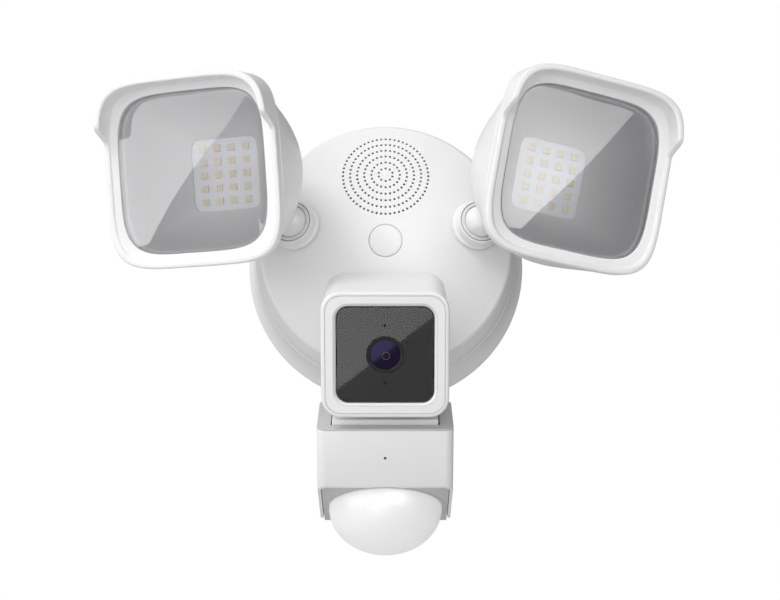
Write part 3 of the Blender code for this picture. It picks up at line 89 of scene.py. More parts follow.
def turned(name, profile, place, sides=144):
    """A closed profile of (radius, height) points, spun about the +Z axis of its place."""
    bm = bmesh.new()
    rows = []
    for radius, height in profile:
        if radius < 1e-7:
            rows.append([bm.verts.new((0, 0, height))])
            continue
        angles = [2 * math.pi * i / sides for i in range(sides)]
        ring = [bm.verts.new((radius * math.cos(a), radius * math.sin(a), height)) for a in angles]
        rows.append(ring)
    pairs = list(zip(rows, rows[1:]))
    if len(rows[0]) > 1:
        pairs.append((rows[-1], rows[0]))
    for low, high in pairs:
        for i in range(sides):
            j = (i + 1) % sides
            corners = [low[i % len(low)], low[j % len(low)], high[j % len(high)], high[i % len(high)]]
            unique = list(dict.fromkeys(corners))
            if len(unique) > 2:
                bm.faces.new(unique)
    return piece_from(name, bm, place)


def piece_from(name, bm, place, sharp=32):
    """Turns a finished bmesh into a smooth-shaded piece whose mesh lies in the object's own frame."""
    bmesh.ops.recalc_face_normals(bm, faces=bm.faces)
    bmesh.ops.transform(bm, matrix=place, verts=bm.verts)
    mesh = bpy.data.meshes.new(name)
    bm.to_mesh(mesh)
    bm.free()
    shade(mesh, sharp)
    return link(name, mesh)


def arc(radius, start, end, steps, centre=(0.0, 0.0)):
    """Points along an arc, at angles measured from the profile's outward direction."""
    turns = [start + (end - start) * i / steps for i in range(steps + 1)]
    return [(centre[0] + radius * math.cos(t), centre[1] + radius * math.sin(t)) for t in turns]


def cut(piece, *tools, operation="DIFFERENCE"):
    """Works the tools into the piece for good, and throws them away."""
    for tool in tools:
        step = piece.modifiers.new("cut", "BOOLEAN")
        step.operation = operation
        step.solver = "EXACT"
        step.object = tool
    settle(piece)
    for tool in tools:
        bpy.data.objects.remove(tool)


def settle(piece):
    """Applies a piece's modifiers to its mesh."""
    graph = bpy.context.evaluated_depsgraph_get()
    mesh = bpy.data.meshes.new_from_object(piece.evaluated_get(graph))
    piece.modifiers.clear()
    piece.data = mesh
    shade(mesh)


def soften(piece, width):
    """Rounds a piece's hard edges, as a mould does."""
    bevel = piece.modifiers.new("rounding", "BEVEL")
    bevel.width = width
    bevel.segments = 3
    bevel.limit_method = "ANGLE"
    bevel.angle_limit = 40 * DEG
    settle(piece)


def blank_finish(name):
    """A new material, with its nodes, its wires and its main shader."""
    material = bpy.data.materials.new(name)
    material.use_nodes = True
    tree = material.node_tree
    return material, tree.nodes, tree.links, tree.nodes["Principled BSDF"]


def set_sockets(node, sockets):
    for socket, value in sockets.items():
        node.inputs[socket.replace("_", " ")].default_value = value


def add(nodes, kind, **sockets):
    """Adds a node of a kind and sets its sockets, whose names have _ for each space."""
    node = nodes.new("ShaderNode" + kind)
    set_sockets(node, sockets)
    return node


def moulded(name, light, dark, roughness, grain=0.9 * MM, relief=0.02, **sockets):
    """Moulded plastic: a fine spark-eroded grain, and a faint cloudiness in the colour."""
    material, nodes, wires, shader = blank_finish(name)
    place = add(nodes, "TexCoord")
    cloud = add(nodes, "TexNoise", Scale=35.0, Detail=3.0)
    wires.new(place.outputs["Object"], cloud.inputs["Vector"])
    ramp = add(nodes, "ValToRGB")
    ramp.color_ramp.elements[0].position = 0.3
    ramp.color_ramp.elements[0].color = (*dark, 1)
    ramp.color_ramp.elements[1].position = 0.7
    ramp.color_ramp.elements[1].color = (*light, 1)
    wires.new(cloud.outputs["Fac"], ramp.inputs["Fac"])
    wires.new(ramp.outputs["Color"], shader.inputs["Base Color"])
    pits = add(nodes, "TexNoise", Scale=1 / grain, Detail=4.0)
    wires.new(place.outputs["Object"], pits.inputs["Vector"])
    sheen = add(nodes, "MapRange", To_Min=roughness * 0.92, To_Max=roughness * 1.08)
    wires.new(pits.outputs["Fac"], sheen.inputs["Value"])
    wires.new(sheen.outputs["Result"], shader.inputs["Roughness"])
    bump = add(nodes, "Bump", Strength=relief, Distance=0.2 * MM)
    wires.new(pits.outputs["Fac"], bump.inputs["Height"])
    wires.new(bump.outputs["Normal"], shader.inputs["Normal"])
    set_sockets(shader, sockets)
    return material


def fit(piece, body, slot, material, *nodes):
    """Fixes a piece to its body, gives it its finish and lets it stand for the frame's plain parts."""
    piece.data.materials.clear()
    piece.data.materials.append(material)
    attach(piece, body)
    if nodes:
        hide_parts(*nodes)


white_plastic = moulded("white_plastic", (0.88, 0.88, 0.88), (0.865, 0.865, 0.867), 0.36)


def rod(name, radius, low, high, place, sides=48):
    return turned(name, [(0, high), (radius, high), (radius, low), (0, low)], place, sides)


def rear_housing():
    rim_inner = LIP_RADIUS - HOUSING_WALL
    lip_outer = SEAM_RADIUS - COVER_WALL - 4 * GAP
    lip_inner = lip_outer - 1.6 * MM
    lip_top = SEAM_HEIGHT + 2.6 * MM
    tube_outer = SCREW_TUBE_BORE + 3.4 * MM
    tube_top = 28.0 * MM - GAP
    profile = [
        (lip_outer, lip_top),
        (lip_outer, SEAM_HEIGHT - GAP),
        (SEAM_RADIUS - 0.4 * MM, SEAM_HEIGHT - GAP),
        (SEAM_RADIUS - 0.1 * MM, SEAM_HEIGHT - GAP - 0.12 * MM),
        (SEAM_RADIUS, SEAM_HEIGHT - GAP - 0.4 * MM),
        (SEAM_RADIUS + 0.2 * MM, 22 * MM),
        (SEAM_RADIUS + 0.5 * MM, 18 * MM),
        (SEAM_RADIUS + 0.95 * MM, 14.5 * MM),
        (SEAM_RADIUS + 1.6 * MM, 11 * MM),
        (SEAM_RADIUS + 2.5 * MM, 8 * MM),
        (LIP_RADIUS - 1.3 * MM, 5.6 * MM),
        (LIP_RADIUS - 0.5 * MM, 4.4 * MM),
        (LIP_RADIUS - 0.1 * MM, 3.5 * MM),
        (LIP_RADIUS, 2.8 * MM),
        (LIP_RADIUS, LIP_BACK + 0.5 * MM),
        (LIP_RADIUS - 0.15 * MM, LIP_BACK + 0.15 * MM),
        (LIP_RADIUS - 0.5 * MM, LIP_BACK),
        (rim_inner, LIP_BACK),
        (rim_inner, FLOOR_BACK),
        (SCREW_TUBE_BORE, FLOOR_BACK),
        (SCREW_TUBE_BORE, tube_top),
        (tube_outer, tube_top),
        (tube_outer, FLOOR_FRONT),
        (rim_inner - 3.6 * MM, FLOOR_FRONT),
        (SEAM_RADIUS - HOUSING_WALL, 12 * MM),
        (lip_inner, SEAM_HEIGHT - 4 * MM),
        (lip_inner, lip_top),
    ]
    housing = turned("housing_shell", profile, BASE, 192)
    entry = BASE @ Matrix.Translation(CABLE_AT)
    holes = [rod("tool", CABLE_HOLE_RADIUS, 0, 9 * MM, entry)]
    for index in (1, 2, 3):
        low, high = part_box(f"case_screw_{index}")
        middle = (low + high) / 2
        bore = BASE @ Matrix.Translation((middle.x, middle.z, 0))
        holes.append(rod("tool", 1.6 * MM, 0, 9 * MM, bore, 24))
    cut(housing, *holes)
    fit(housing, "base", "white_plastic", white_plastic, "rear_housing")


rear_housing()


# ---- Back of the base: gasket, bracket, cable grommet and screws ----
# A cut foam-rubber ring seals the drum to the wall; a pressed zinc-plated strip bolts to the electrical
# box; a rubber grommet lines the cable hole; three self-tapping screws hold the two halves together.


def rubber(name, colour, roughness=0.75):
    lighter = tuple(min(1, c * 1.15 + 0.004) for c in colour)
    return moulded(name, lighter, colour, roughness, 0.6 * MM, 0.12)


def zinc_plate(name):
    """Zinc plating: a bright blue-grey metal with fine rolling lines and a soft mottle."""
    material = moulded(name, (0.66, 0.67, 0.69), (0.5, 0.51, 0.53), 0.34, 0.5 * MM, 0.05, Metallic=1.0)
    nodes = material.node_tree.nodes
    wires = material.node_tree.links
    stretch = add(nodes, "Mapping", Scale=(0.08, 1, 1))
    place = next(n for n in nodes if n.type == "TEX_COORD")
    wires.new(place.outputs["Object"], stretch.inputs["Vector"])
    for noise in [n for n in nodes if n.type == "TEX_NOISE"]:
        wires.new(stretch.outputs["Vector"], noise.inputs["Vector"])
    return material


black_rubber = rubber("black_rubber", (0.035, 0.035, 0.036))
zinc = zinc_plate("zinc_plating")


def dress(node, material):
    """Gives a carried-over node its finish, and smooth shading on its round faces."""
    part = frame["nodes"][node]
    mesh = part.data
    mesh.materials.clear()
    mesh.materials.append(material)
    for face in mesh.polygons:
        face.material_index = 0
    weld = part.modifiers.new("weld", "WELD")
    weld.merge_threshold = 0.002 * MM
    smooth = part.modifiers.new("edges", "EDGE_SPLIT")
    smooth.split_angle = 40 * DEG
    mesh.shade_smooth()


def wall_gasket():
    outer = LIP_RADIUS - HOUSING_WALL - 2 * GAP
    inner = outer - 5 * MM
    top = 2.2 * MM
    profile = [
        (outer, top - 0.4 * MM),
        (outer, 0.5 * MM),
        (outer - 0.5 * MM, 0),
        (inner + 0.5 * MM, 0),
        (inner, 0.5 * MM),
        (inner, top - 0.4 * MM),
        (inner + 0.4 * MM, top),
        (outer - 0.4 * MM, top),
    ]
    gasket = turned("gasket_ring", profile, BASE, 144)
    fit(gasket, "base", "soft_rubber", black_rubber, "wall_gasket")


def cable_grommet():
    inside = FLOOR_FRONT + GAP
    outside = FLOOR_BACK - GAP
    waist = CABLE_HOLE_RADIUS - GAP
    brim = CABLE_HOLE_RADIUS + 1.6 * MM
    bore = 4.5 * MM
    profile = [
        *arc(0.8 * MM, 90 * DEG, 0, 4, (brim - 0.8 * MM, inside + 0.8 * MM)),
        (brim, inside),
        (waist, inside),
        (waist, outside),
        (brim, outside),
        *arc(0.7 * MM, 0, -90 * DEG, 4, (brim - 0.7 * MM, outside - 0.7 * MM)),
        *arc(0.5 * MM, 270 * DEG, 180 * DEG, 4, (bore + 0.5 * MM, outside - 0.9 * MM)),
        (bore, inside + 1.1 * MM),
        (bore + 0.5 * MM, inside + 1.6 * MM),
    ]
    grommet = turned("grommet", profile, BASE @ Matrix.Translation(CABLE_AT), 64)
    fit(grommet, "base", "soft_rubber", black_rubber, "cable_grommet")


wall_gasket()
cable_grommet()
for node in ("mounting_bracket", "case_screw_1", "case_screw_2", "case_screw_3", "hanging_screw"):
    dress(node, zinc)


# ---- Front cover ----
# One white moulding: a band that meets the housing at a fine seam, a rounded shoulder and a shallow dome.
# The dome has the speaker's rings of drilled holes, the plug's well, two collar holes and the arm's lugs.

SHOULDER_RADIUS = 56.4 * MM
SHOULDER_HEIGHT = 41.9 * MM
SHOULDER_ROUND = 2.6 * MM
DOME_TOP = -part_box("screw_plug")[0].y
DOME_RISE = DOME_TOP - SHOULDER_HEIGHT
DOME_SPHERE = (SHOULDER_RADIUS**2 + DOME_RISE**2) / (2 * DOME_RISE)
WELL_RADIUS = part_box("screw_plug")[1].x + 0.1 * MM
WELL_FLOOR = 28.0 * MM
WELL_SHELF = 30.2 * MM
SPEAKER_UP = 31.1 * MM
GRILLE_RINGS = 6
GRILLE_PITCH = 3.17 * MM
GRILLE_HOLE_RADIUS = 0.56 * MM
GRILLE_RECESS = 20.5 * MM
GRILLE_SKIN = 1.0 * MM
COLLAR_HOLE_RADIUS = 10.3 * MM
ARM_PIN_RADIUS = 2.2 * MM
LUG_INNER = 6.0 * MM
LUG_THICKNESS = 4.0 * MM
SIDES = {"left": -1, "right": 1}


def dome_height(radius, inset=0.0):
    return DOME_TOP - DOME_SPHERE + math.sqrt((DOME_SPHERE - inset) ** 2 - radius**2)


SPEAKER = BASE @ Matrix.Translation((0, SPEAKER_UP, dome_height(SPEAKER_UP)))
SPEAKER = SPEAKER @ Matrix.Rotation(-math.asin(SPEAKER_UP / DOME_SPHERE), 4, "X")


def on_joint(position, x_axis, z_axis):
    """A place at a joint, with its +X and +Z along two given directions."""
    z = Vector(z_axis).normalized()
    x = Vector(x_axis)
    x = (x - z * x.dot(z)).normalized()
    turn = Matrix((x, z.cross(x), z)).transposed().to_4x4()
    return Matrix.Translation(position) @ turn


SOCKET = {}
NECK = {}
for side in SIDES:
    swivel = joints["lamp_swivel_" + side]
    tilt = joints["lamp_tilt_" + side]
    spin = joints["lamp_spin_" + side]
    SOCKET[side] = on_joint(swivel["pos_m"], tilt["axis"], swivel["axis"])
    NECK[side] = on_joint(spin["pos_m"], tilt["axis"], spin["axis"])

ARM_PIVOT = Vector(joints["arm_tilt"]["pos_m"])


def grille_tool():
    """Straight drills for the speaker's holes, in rings of 10, 20, 30 and so on."""
    bm = bmesh.new()
    for ring in range(1, GRILLE_RINGS + 1):
        for hole in range(10 * ring):
            angle = 2 * math.pi * hole / (10 * ring) + 90 * DEG
            reach = ring * GRILLE_PITCH
            bmesh.ops.create_cone(
                bm,
                cap_ends=True,
                segments=14,
                radius1=GRILLE_HOLE_RADIUS,
                radius2=GRILLE_HOLE_RADIUS,
                depth=7 * MM,
                matrix=Matrix.Translation((reach * math.cos(angle), reach * math.sin(angle), -1.5 * MM)),
            )
    return piece_from("tool", bm, SPEAKER)


def grille_recess():
    """The room behind the speaker's holes, where the dome's wall is thinner."""
    under = -5 * MM
    radii = (GRILLE_RECESS, 17 * MM, 13 * MM, 9 * MM, 5 * MM, 0)
    roof = [(r, dome_height(r, GRILLE_SKIN) - DOME_TOP) for r in radii]
    return turned("tool", [(0, under), (GRILLE_RECESS, under), *roof], SPEAKER, 96)


def lug(sign):
    """One lug under the drum: a flat plate with a round end, rounded a little at its edges."""
    radius = ARM_PIVOT.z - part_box("front_cover")[0].z
    root = -SEAM_RADIUS + 1.2 * MM
    bm = bmesh.new()
    tip = [(ARM_PIVOT.z - s, c - ARM_PIVOT.y) for c, s in arc(radius, 0, 180 * DEG, 24)]
    outline = [(root, SHOULDER_HEIGHT - 1 * MM), *tip, (root, SEAM_HEIGHT + 3 * MM)]
    face = bm.faces.new([bm.verts.new((sign * LUG_INNER, y, z)) for y, z in outline])
    grown = bmesh.ops.extrude_face_region(bm, geom=[face])
    moved = [item for item in grown["geom"] if isinstance(item, bmesh.types.BMVert)]
    bmesh.ops.translate(bm, vec=(sign * LUG_THICKNESS, 0, 0), verts=moved)
    plate = piece_from("tool", bm, BASE)
    soften(plate, 0.6 * MM)
    return plate


def front_cover():
    rim = SEAM_HEIGHT + GAP
    edge = SHOULDER_RADIUS - SHOULDER_ROUND
    corner = (edge, dome_height(edge) - SHOULDER_ROUND)
    lip = [(WELL_RADIUS, DOME_TOP - 0.8 * MM), (WELL_RADIUS + 0.1 * MM, DOME_TOP - 0.45 * MM)]
    radii = [WELL_RADIUS + 0.35 * MM] + [k * 2 * MM for k in range(5, 27)]
    rise = [(r, dome_height(r)) for r in radii]
    shoulder = arc(SHOULDER_ROUND, 68 * DEG, 10 * DEG, 10, corner)
    band = [
        (SEAM_RADIUS - 2.2 * MM, SHOULDER_HEIGHT - 4 * MM),
        (SEAM_RADIUS - 1.5 * MM, SHOULDER_HEIGHT - 7 * MM),
        (SEAM_RADIUS - 0.8 * MM, SHOULDER_HEIGHT - 11 * MM),
        (SEAM_RADIUS - 0.3 * MM, rim + 0.5 * MM),
        (SEAM_RADIUS - 0.45 * MM, rim + 0.12 * MM),
        (SEAM_RADIUS - 0.8 * MM, rim),
    ]
    well_outer = WELL_RADIUS + 2.2 * MM
    inside = [
        (SEAM_RADIUS - COVER_WALL - 0.1 * MM, rim),
        (SHOULDER_RADIUS - COVER_WALL, SHOULDER_HEIGHT - 6 * MM),
    ]
    inside += [(r * MM, dome_height(r * MM, COVER_WALL)) for r in (52, 47, 42, 37, 32, 27, 22, 17, 13)]
    inside += [
        (well_outer, dome_height(well_outer, COVER_WALL)),
        (well_outer, WELL_FLOOR),
        (SCREW_TUBE_BORE, WELL_FLOOR),
        (SCREW_TUBE_BORE, WELL_SHELF),
        (WELL_RADIUS, WELL_SHELF),
    ]
    cover = turned("cover_dome", lip + rise + shoulder + band + inside, BASE, 192)
    for sign in (-1, 1):
        cut(cover, lug(sign), operation="UNION")
    holes = [rod("tool", ARM_PIN_RADIUS + GAP, -20 * MM, 20 * MM, Matrix.Translation(ARM_PIVOT) @ ACROSS)]
    holes += [rod("tool", COLLAR_HOLE_RADIUS, -16 * MM, 8 * MM, SOCKET[side], 96) for side in SIDES]
    cut(cover, *holes)
    cut(cover, grille_recess(), grille_tool())
    fit(cover, "base", "white_plastic", white_plastic, "front_cover")


front_cover()


# ---- Screw plug ----
# A soft white silicone plug, pressed flush into the middle of the dome over the hanging screw.
# It has a small edge radius, so that only a fine ring shows round it.

PLUG_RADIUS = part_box("screw_plug")[1].x
PLUG_FOOT = -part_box("screw_plug")[1].y

white_silicone = rubber("white_silicone", (0.8, 0.8, 0.795), 0.5)


def screw_plug():
    radii = [k / 6 * (PLUG_RADIUS - 0.4 * MM) for k in range(7)]
    crown = [(r, dome_height(r)) for r in radii]
    skirt = dome_height(PLUG_RADIUS)
    profile = [
        *crown,
        (PLUG_RADIUS - 0.12 * MM, skirt - 0.12 * MM),
        (PLUG_RADIUS, skirt - 0.4 * MM),
        (PLUG_RADIUS, PLUG_FOOT + 0.5 * MM),
        (PLUG_RADIUS - 0.5 * MM, PLUG_FOOT),
        (0, PLUG_FOOT),
    ]
    plug = turned("plug", profile, BASE, 96)
    fit(plug, "plug", "white_rubber", white_silicone, "screw_plug")


screw_plug()


# ---- Inside the base ----
# The mains board with its transformer and capacitor, the control board, and the speaker with its seal.
# They are bought-in parts, screwed or clipped to the housing before the cover closes over them.

green_board = moulded("green_board", (0.035, 0.22, 0.1), (0.02, 0.15, 0.07), 0.4, 0.7 * MM, 0.08)
yellow_tape = moulded("yellow_tape", (0.8, 0.62, 0.1), (0.68, 0.52, 0.08), 0.45, 1.2 * MM, 0.08)
black_sleeve = moulded("black_sleeve", (0.035, 0.035, 0.036), (0.025, 0.025, 0.026), 0.4)
for node in ("power_board", "control_board", "sensor_board", "image_board", "camera_main_board"):
    dress(node, green_board)
dress("transformer", yellow_tape)
dress("filter_capacitor", black_sleeve)
dress("speaker_basket", black_sleeve)
dress("speaker_magnet", zinc)
for node in ("speaker_seal", "speaker_cone"):
    dress(node, black_rubber)


# ---- Lamp sockets and ball studs ----
# A white collar with a flange and a turned-in lip, held from inside by a nut, and in it a nylon cup that
# grips the ball. The stud is one piece: ball, short neck and the round foot that meets the lamp head.

BALL_RADIUS = 7.2 * MM
CUP_RADIUS = 8.7 * MM
COLLAR_RADIUS = 10.0 * MM
COLLAR_TOP = 1.0 * MM
FLANGE_RADIUS = 11.2 * MM
COLLAR_SEAT = -5.2 * MM
COLLAR_FOOT = -11.5 * MM
STUB_RADIUS = 8.2 * MM
STUB_BASE = 7.6 * MM
STUB_TOP = 10.4 * MM
STEM_RADIUS = 4.4 * MM
SPIGOT_RADIUS = 5.0 * MM
SPIGOT_END = 18.0 * MM

natural_nylon = moulded("natural_nylon", (0.8, 0.8, 0.78), (0.76, 0.76, 0.74), 0.45)


def lamp_collar(side):
    bore = CUP_RADIUS + GAP
    round_edge = 0.45 * MM
    top = arc(round_edge, 90 * DEG, 0, 5, (COLLAR_RADIUS - round_edge, COLLAR_TOP - round_edge))
    cove = arc(0.6 * MM, 180 * DEG, 270 * DEG, 5, (COLLAR_RADIUS + 0.6 * MM, COLLAR_SEAT + 2.0 * MM))
    profile = [
        (bore + 0.15 * MM, COLLAR_TOP),
        *top,
        *cove,
        *arc(0.5 * MM, 90 * DEG, 0, 4, (FLANGE_RADIUS - 0.5 * MM, COLLAR_SEAT + 0.9 * MM)),
        (FLANGE_RADIUS, COLLAR_SEAT),
        (COLLAR_RADIUS, COLLAR_SEAT),
        (COLLAR_RADIUS, COLLAR_FOOT),
        (5 * MM, COLLAR_FOOT),
        (5 * MM, COLLAR_FOOT + 1.6 * MM),
        (bore, COLLAR_FOOT + 1.6 * MM),
        (bore, COLLAR_TOP - 0.2 * MM),
    ]
    collar = turned("collar_" + side, profile, SOCKET[side], 96)
    fit(collar, "base", "white_plastic", white_plastic, "lamp_collar_" + side)


def swivel_cup(side):
    cavity = BALL_RADIUS + GAP
    top = 1.2 * MM
    wire_hole = 3.5 * MM
    hollow = arc(cavity, -math.acos(wire_hole / cavity), math.asin(top / cavity), 20)
    profile = [
        (CUP_RADIUS, top - 0.3 * MM),
        (CUP_RADIUS, -9.4 * MM),
        (wire_hole, -9.4 * MM),
        *hollow,
        (CUP_RADIUS - 0.3 * MM, top),
    ]
    cup = turned("cup_" + side, profile, SOCKET[side], 96)
    fit(cup, "swivel_" + side, "nylon", natural_nylon, "swivel_cup_" + side)


def ball_stud(side):
    bore = 2.0 * MM
    ball = arc(BALL_RADIUS, math.acos(STEM_RADIUS / BALL_RADIUS), -math.acos(bore / BALL_RADIUS), 28)
    fillet = arc(0.8 * MM, 90 * DEG, 180 * DEG, 5, (STEM_RADIUS + 0.8 * MM, STUB_BASE - 0.8 * MM))
    profile = [
        (SPIGOT_RADIUS - 0.3 * MM, SPIGOT_END),
        (SPIGOT_RADIUS, SPIGOT_END - 0.3 * MM),
        (SPIGOT_RADIUS, STUB_TOP),
        *arc(0.5 * MM, 90 * DEG, 0, 4, (STUB_RADIUS - 0.5 * MM, STUB_TOP - 0.5 * MM)),
        *arc(0.6 * MM, 0, -90 * DEG, 5, (STUB_RADIUS - 0.6 * MM, STUB_BASE + 0.6 * MM)),
        *fillet,
        *ball,
        (bore, SPIGOT_END),
    ]
    stud = turned("stud_" + side, profile, NECK[side], 96)
    fit(stud, "stud_" + side, "white_plastic", white_plastic, "ball_stud_" + side)


for side in SIDES:
    lamp_collar(side)
    swivel_cup(side)
    ball_stud(side)
    dress("collar_nut_" + side, natural_nylon)
    dress("neck_clip_" + side, zinc)


# ---- Lamp head shells ----
# A bowl moulded in white plastic, square with round corners at the front and round at the back.
# A round boss low on its inner side takes the stud's spigot.

HEAD_AIM = {  # yaw, pitch and roll of each head
    "left": (-20.4 * DEG, 13.6 * DEG, -0.9 * DEG),
    "right": (18.7 * DEG, 10.8 * DEG, -7.3 * DEG),
}
BALL_IN_HEAD = Vector((18.6 * MM, -21.9 * MM, -57.0 * MM))
HEAD_HALF = 39.2 * MM
HEAD_DEPTH = 55.5 * MM
HEAD_WALL = 2.0 * MM
HEAD_CORNER = 5.0
FRAME_DEPTH = 3.0 * MM
BOSS_FACE = STUB_TOP + GAP
BOSS_END = 16.0 * MM

HEAD = {}
for side, sign in SIDES.items():
    yaw, pitch, roll = HEAD_AIM[side]
    turn = Matrix.Rotation(yaw, 3, "Y") @ Matrix.Rotation(pitch, 3, "X") @ Matrix.Rotation(roll, 3, "Z")
    ball = BASE.inverted() @ Vector(joints["lamp_spin_" + side]["pos_m"])
    offset = Vector((-sign * BALL_IN_HEAD.x, BALL_IN_HEAD.y, BALL_IN_HEAD.z))
    HEAD[side] = BASE @ Matrix.Translation(ball - turn @ offset) @ turn.to_4x4()


def squircle(half, exponent, height, sides=128, lift=None):
    """A ring between a circle (exponent 2) and a square; lift gives each point its own height."""
    points = []
    for i in range(sides):
        angle = 2 * math.pi * (i + 0.5) / sides
        c = math.cos(angle)
        s = math.sin(angle)
        reach = half * (abs(c) ** exponent + abs(s) ** exponent) ** (-1 / exponent)
        y = reach * s
        points.append(Vector((reach * c, y, height + (lift(y) if lift else 0))))
    return points


def loft(name, rings, place, looped=False, sharp=32):
    """Skin over rings of equal counts, with flat ends unless it closes on itself."""
    bm = bmesh.new()
    rows = [[bm.verts.new(point) for point in ring] for ring in rings]
    pairs = list(zip(rows, rows[1:]))
    if looped:
        pairs.append((rows[-1], rows[0]))
    for row, following in pairs:
        for i in range(len(row)):
            j = (i + 1) % len(row)
            bm.faces.new((row[i], row[j], following[j], following[i]))
    if not looped:
        bm.faces.new(rows[0])
        bm.faces.new(rows[-1])
    return piece_from(name, bm, place, sharp)


def bowl_ring(back, half, depth):
    size = half * max(1 - (back / depth) ** 4, 1e-5) ** (1 / 1.5)
    exponent = 1.9 + (HEAD_CORNER - 1.9) * math.exp(-back / (9.4 * MM))
    return squircle(size, exponent, -back)


def head_shell(side):
    front = FRAME_DEPTH + GAP
    steps = 30
    outer_end = HEAD_DEPTH - 0.5 * MM
    inner_depth = HEAD_DEPTH - HEAD_WALL
    inner_end = inner_depth - 0.6 * MM
    share = [math.sin(k / steps * 90 * DEG) for k in range(steps + 1)]
    outer = [bowl_ring(front + t * (outer_end - front), HEAD_HALF, HEAD_DEPTH) for t in share]
    edge = [bowl_ring(front, HEAD_HALF - 0.3 * MM, HEAD_DEPTH)]
    outer[0] = bowl_ring(front + 0.3 * MM, HEAD_HALF, HEAD_DEPTH)
    inner = [bowl_ring(front + t * (inner_end - front), HEAD_HALF - HEAD_WALL, inner_depth) for t in share]
    shell = loft("bowl_" + side, outer[::-1] + edge + inner, HEAD[side])
    cut(shell, rod("tool", STUB_RADIUS + 0.4 * MM, 0, BOSS_FACE, NECK[side], 96))
    outer_boss = STUB_RADIUS + 0.8 * MM
    boss = [
        (0, BOSS_END),
        (outer_boss, BOSS_END),
        *arc(0.5 * MM, 0, -90 * DEG, 4, (outer_boss - 0.5 * MM, BOSS_FACE + 0.5 * MM)),
        (0, BOSS_FACE),
    ]
    cut(shell, turned("tool", boss, NECK[side], 96), operation="UNION")
    cut(shell, rod("tool", SPIGOT_RADIUS + GAP, 0, BOSS_END + 8 * MM, NECK[side], 96))
    fit(shell, "head_" + side, "white_plastic", white_plastic, "head_shell_" + side)


for side in SIDES:
    head_shell(side)


# ---- Lamp head frames ----
# A white front frame with a low rim that sweeps forward into a visor over the top and upper corners.
# It snaps on to the bowl, leaving a hairline joint, and its ledge holds the window.

RIM_WALL = 2.5 * MM
RIM_HEIGHT = 1.2 * MM
VISOR_REACH = 9.5 * MM
VISOR_FROM = 14.0 * MM
VISOR_FULL = 21.0 * MM
RIM_ROUND = 0.8 * MM
WINDOW_HALF = 33.0 * MM
WINDOW_CORNER = 4.6


def visor(y):
    """How far the rim stands forward: little at the bottom and sides, then a smooth step into the visor."""
    t = min(max((y - VISOR_FROM) / (VISOR_FULL - VISOR_FROM), 0), 1)
    return RIM_HEIGHT + (VISOR_REACH - RIM_HEIGHT) * t * t * (3 - 2 * t)


def head_frame(side):
    opening = WINDOW_HALF + GAP
    inside = HEAD_HALF - RIM_WALL
    rings = [
        squircle(HEAD_HALF - 0.3 * MM, HEAD_CORNER, -FRAME_DEPTH, 256),
        squircle(HEAD_HALF, HEAD_CORNER, -FRAME_DEPTH + 0.3 * MM, 256),
        squircle(HEAD_HALF, HEAD_CORNER, -0.6 * MM, 256),
    ]
    for across, up in arc(RIM_ROUND, 0, 90 * DEG, 6, (-RIM_ROUND, -RIM_ROUND)):
        rings.append(squircle(HEAD_HALF + across, HEAD_CORNER, up, 256, visor))
    for across, up in arc(RIM_ROUND, 90 * DEG, 180 * DEG, 6, (RIM_ROUND, -RIM_ROUND)):
        rings.append(squircle(inside + across, HEAD_CORNER, up, 256, visor))
    for across, up in arc(0.5 * MM, 0, -90 * DEG, 4, (-0.5 * MM, 0.5 * MM)):
        rings.append(squircle(inside + across, HEAD_CORNER, up, 256))
    rings += [
        squircle(opening + 0.35 * MM, WINDOW_CORNER, 0, 256),
        squircle(opening + 0.1 * MM, WINDOW_CORNER, -0.1 * MM, 256),
        squircle(opening, WINDOW_CORNER, -0.35 * MM, 256),
        squircle(opening, WINDOW_CORNER, -FRAME_DEPTH, 256),
    ]
    piece = loft("frame_" + side, rings, HEAD[side], looped=True, sharp=40)
    fit(piece, "head_" + side, "white_plastic", white_plastic, "head_frame_" + side)


for side in SIDES:
    head_frame(side)


# ---- Lamp windows ----
# Clear polycarbonate, 2 mm thick and polished, dropped into the frame flush with its ledge.
# It shows the reflector behind it and mirrors the room faintly.

WINDOW_THICKNESS = 2.0 * MM


def clear_pane(name, tint, reflect):
    """A clear sheet: light passes straight through, and a Fresnel share of it is mirrored."""
    material, nodes, wires, shader = blank_finish(name)
    set_sockets(shader, {"Base Color": (*reflect, 1), "Metallic": 1.0, "Roughness": 0.02})
    passing = add(nodes, "BsdfTransparent", Color=(*tint, 1))
    share = add(nodes, "Fresnel", IOR=1.75)
    blend = add(nodes, "MixShader")
    wires.new(share.outputs["Fac"], blend.inputs["Fac"])
    wires.new(passing.outputs["BSDF"], blend.inputs[1])
    wires.new(shader.outputs["BSDF"], blend.inputs[2])
    wires.new(blend.outputs["Shader"], nodes["Material Output"].inputs["Surface"])
    return material


def clear_back(name, tint):
    """The back and the edges of a clear sheet, which mirror nothing."""
    material, nodes, wires, shader = blank_finish(name)
    passing = add(nodes, "BsdfTransparent", Color=(*tint, 1))
    nodes.remove(shader)
    wires.new(passing.outputs["BSDF"], nodes["Material Output"].inputs["Surface"])
    return material


def face_only(pane, place, back):
    """Leaves the mirroring to the sheet's outer face."""
    pane.data.materials.append(back)
    outward = place.to_3x3() @ Vector((0, 0, 1))
    for polygon in pane.data.polygons:
        if polygon.normal.dot(outward) < 0.5:
            polygon.material_index = 1


lamp_pane = clear_pane("lamp_pane", (0.99, 0.992, 0.995), (0.95, 0.95, 0.95))
lamp_pane_back = clear_back("lamp_pane_back", (0.99, 0.992, 0.995))


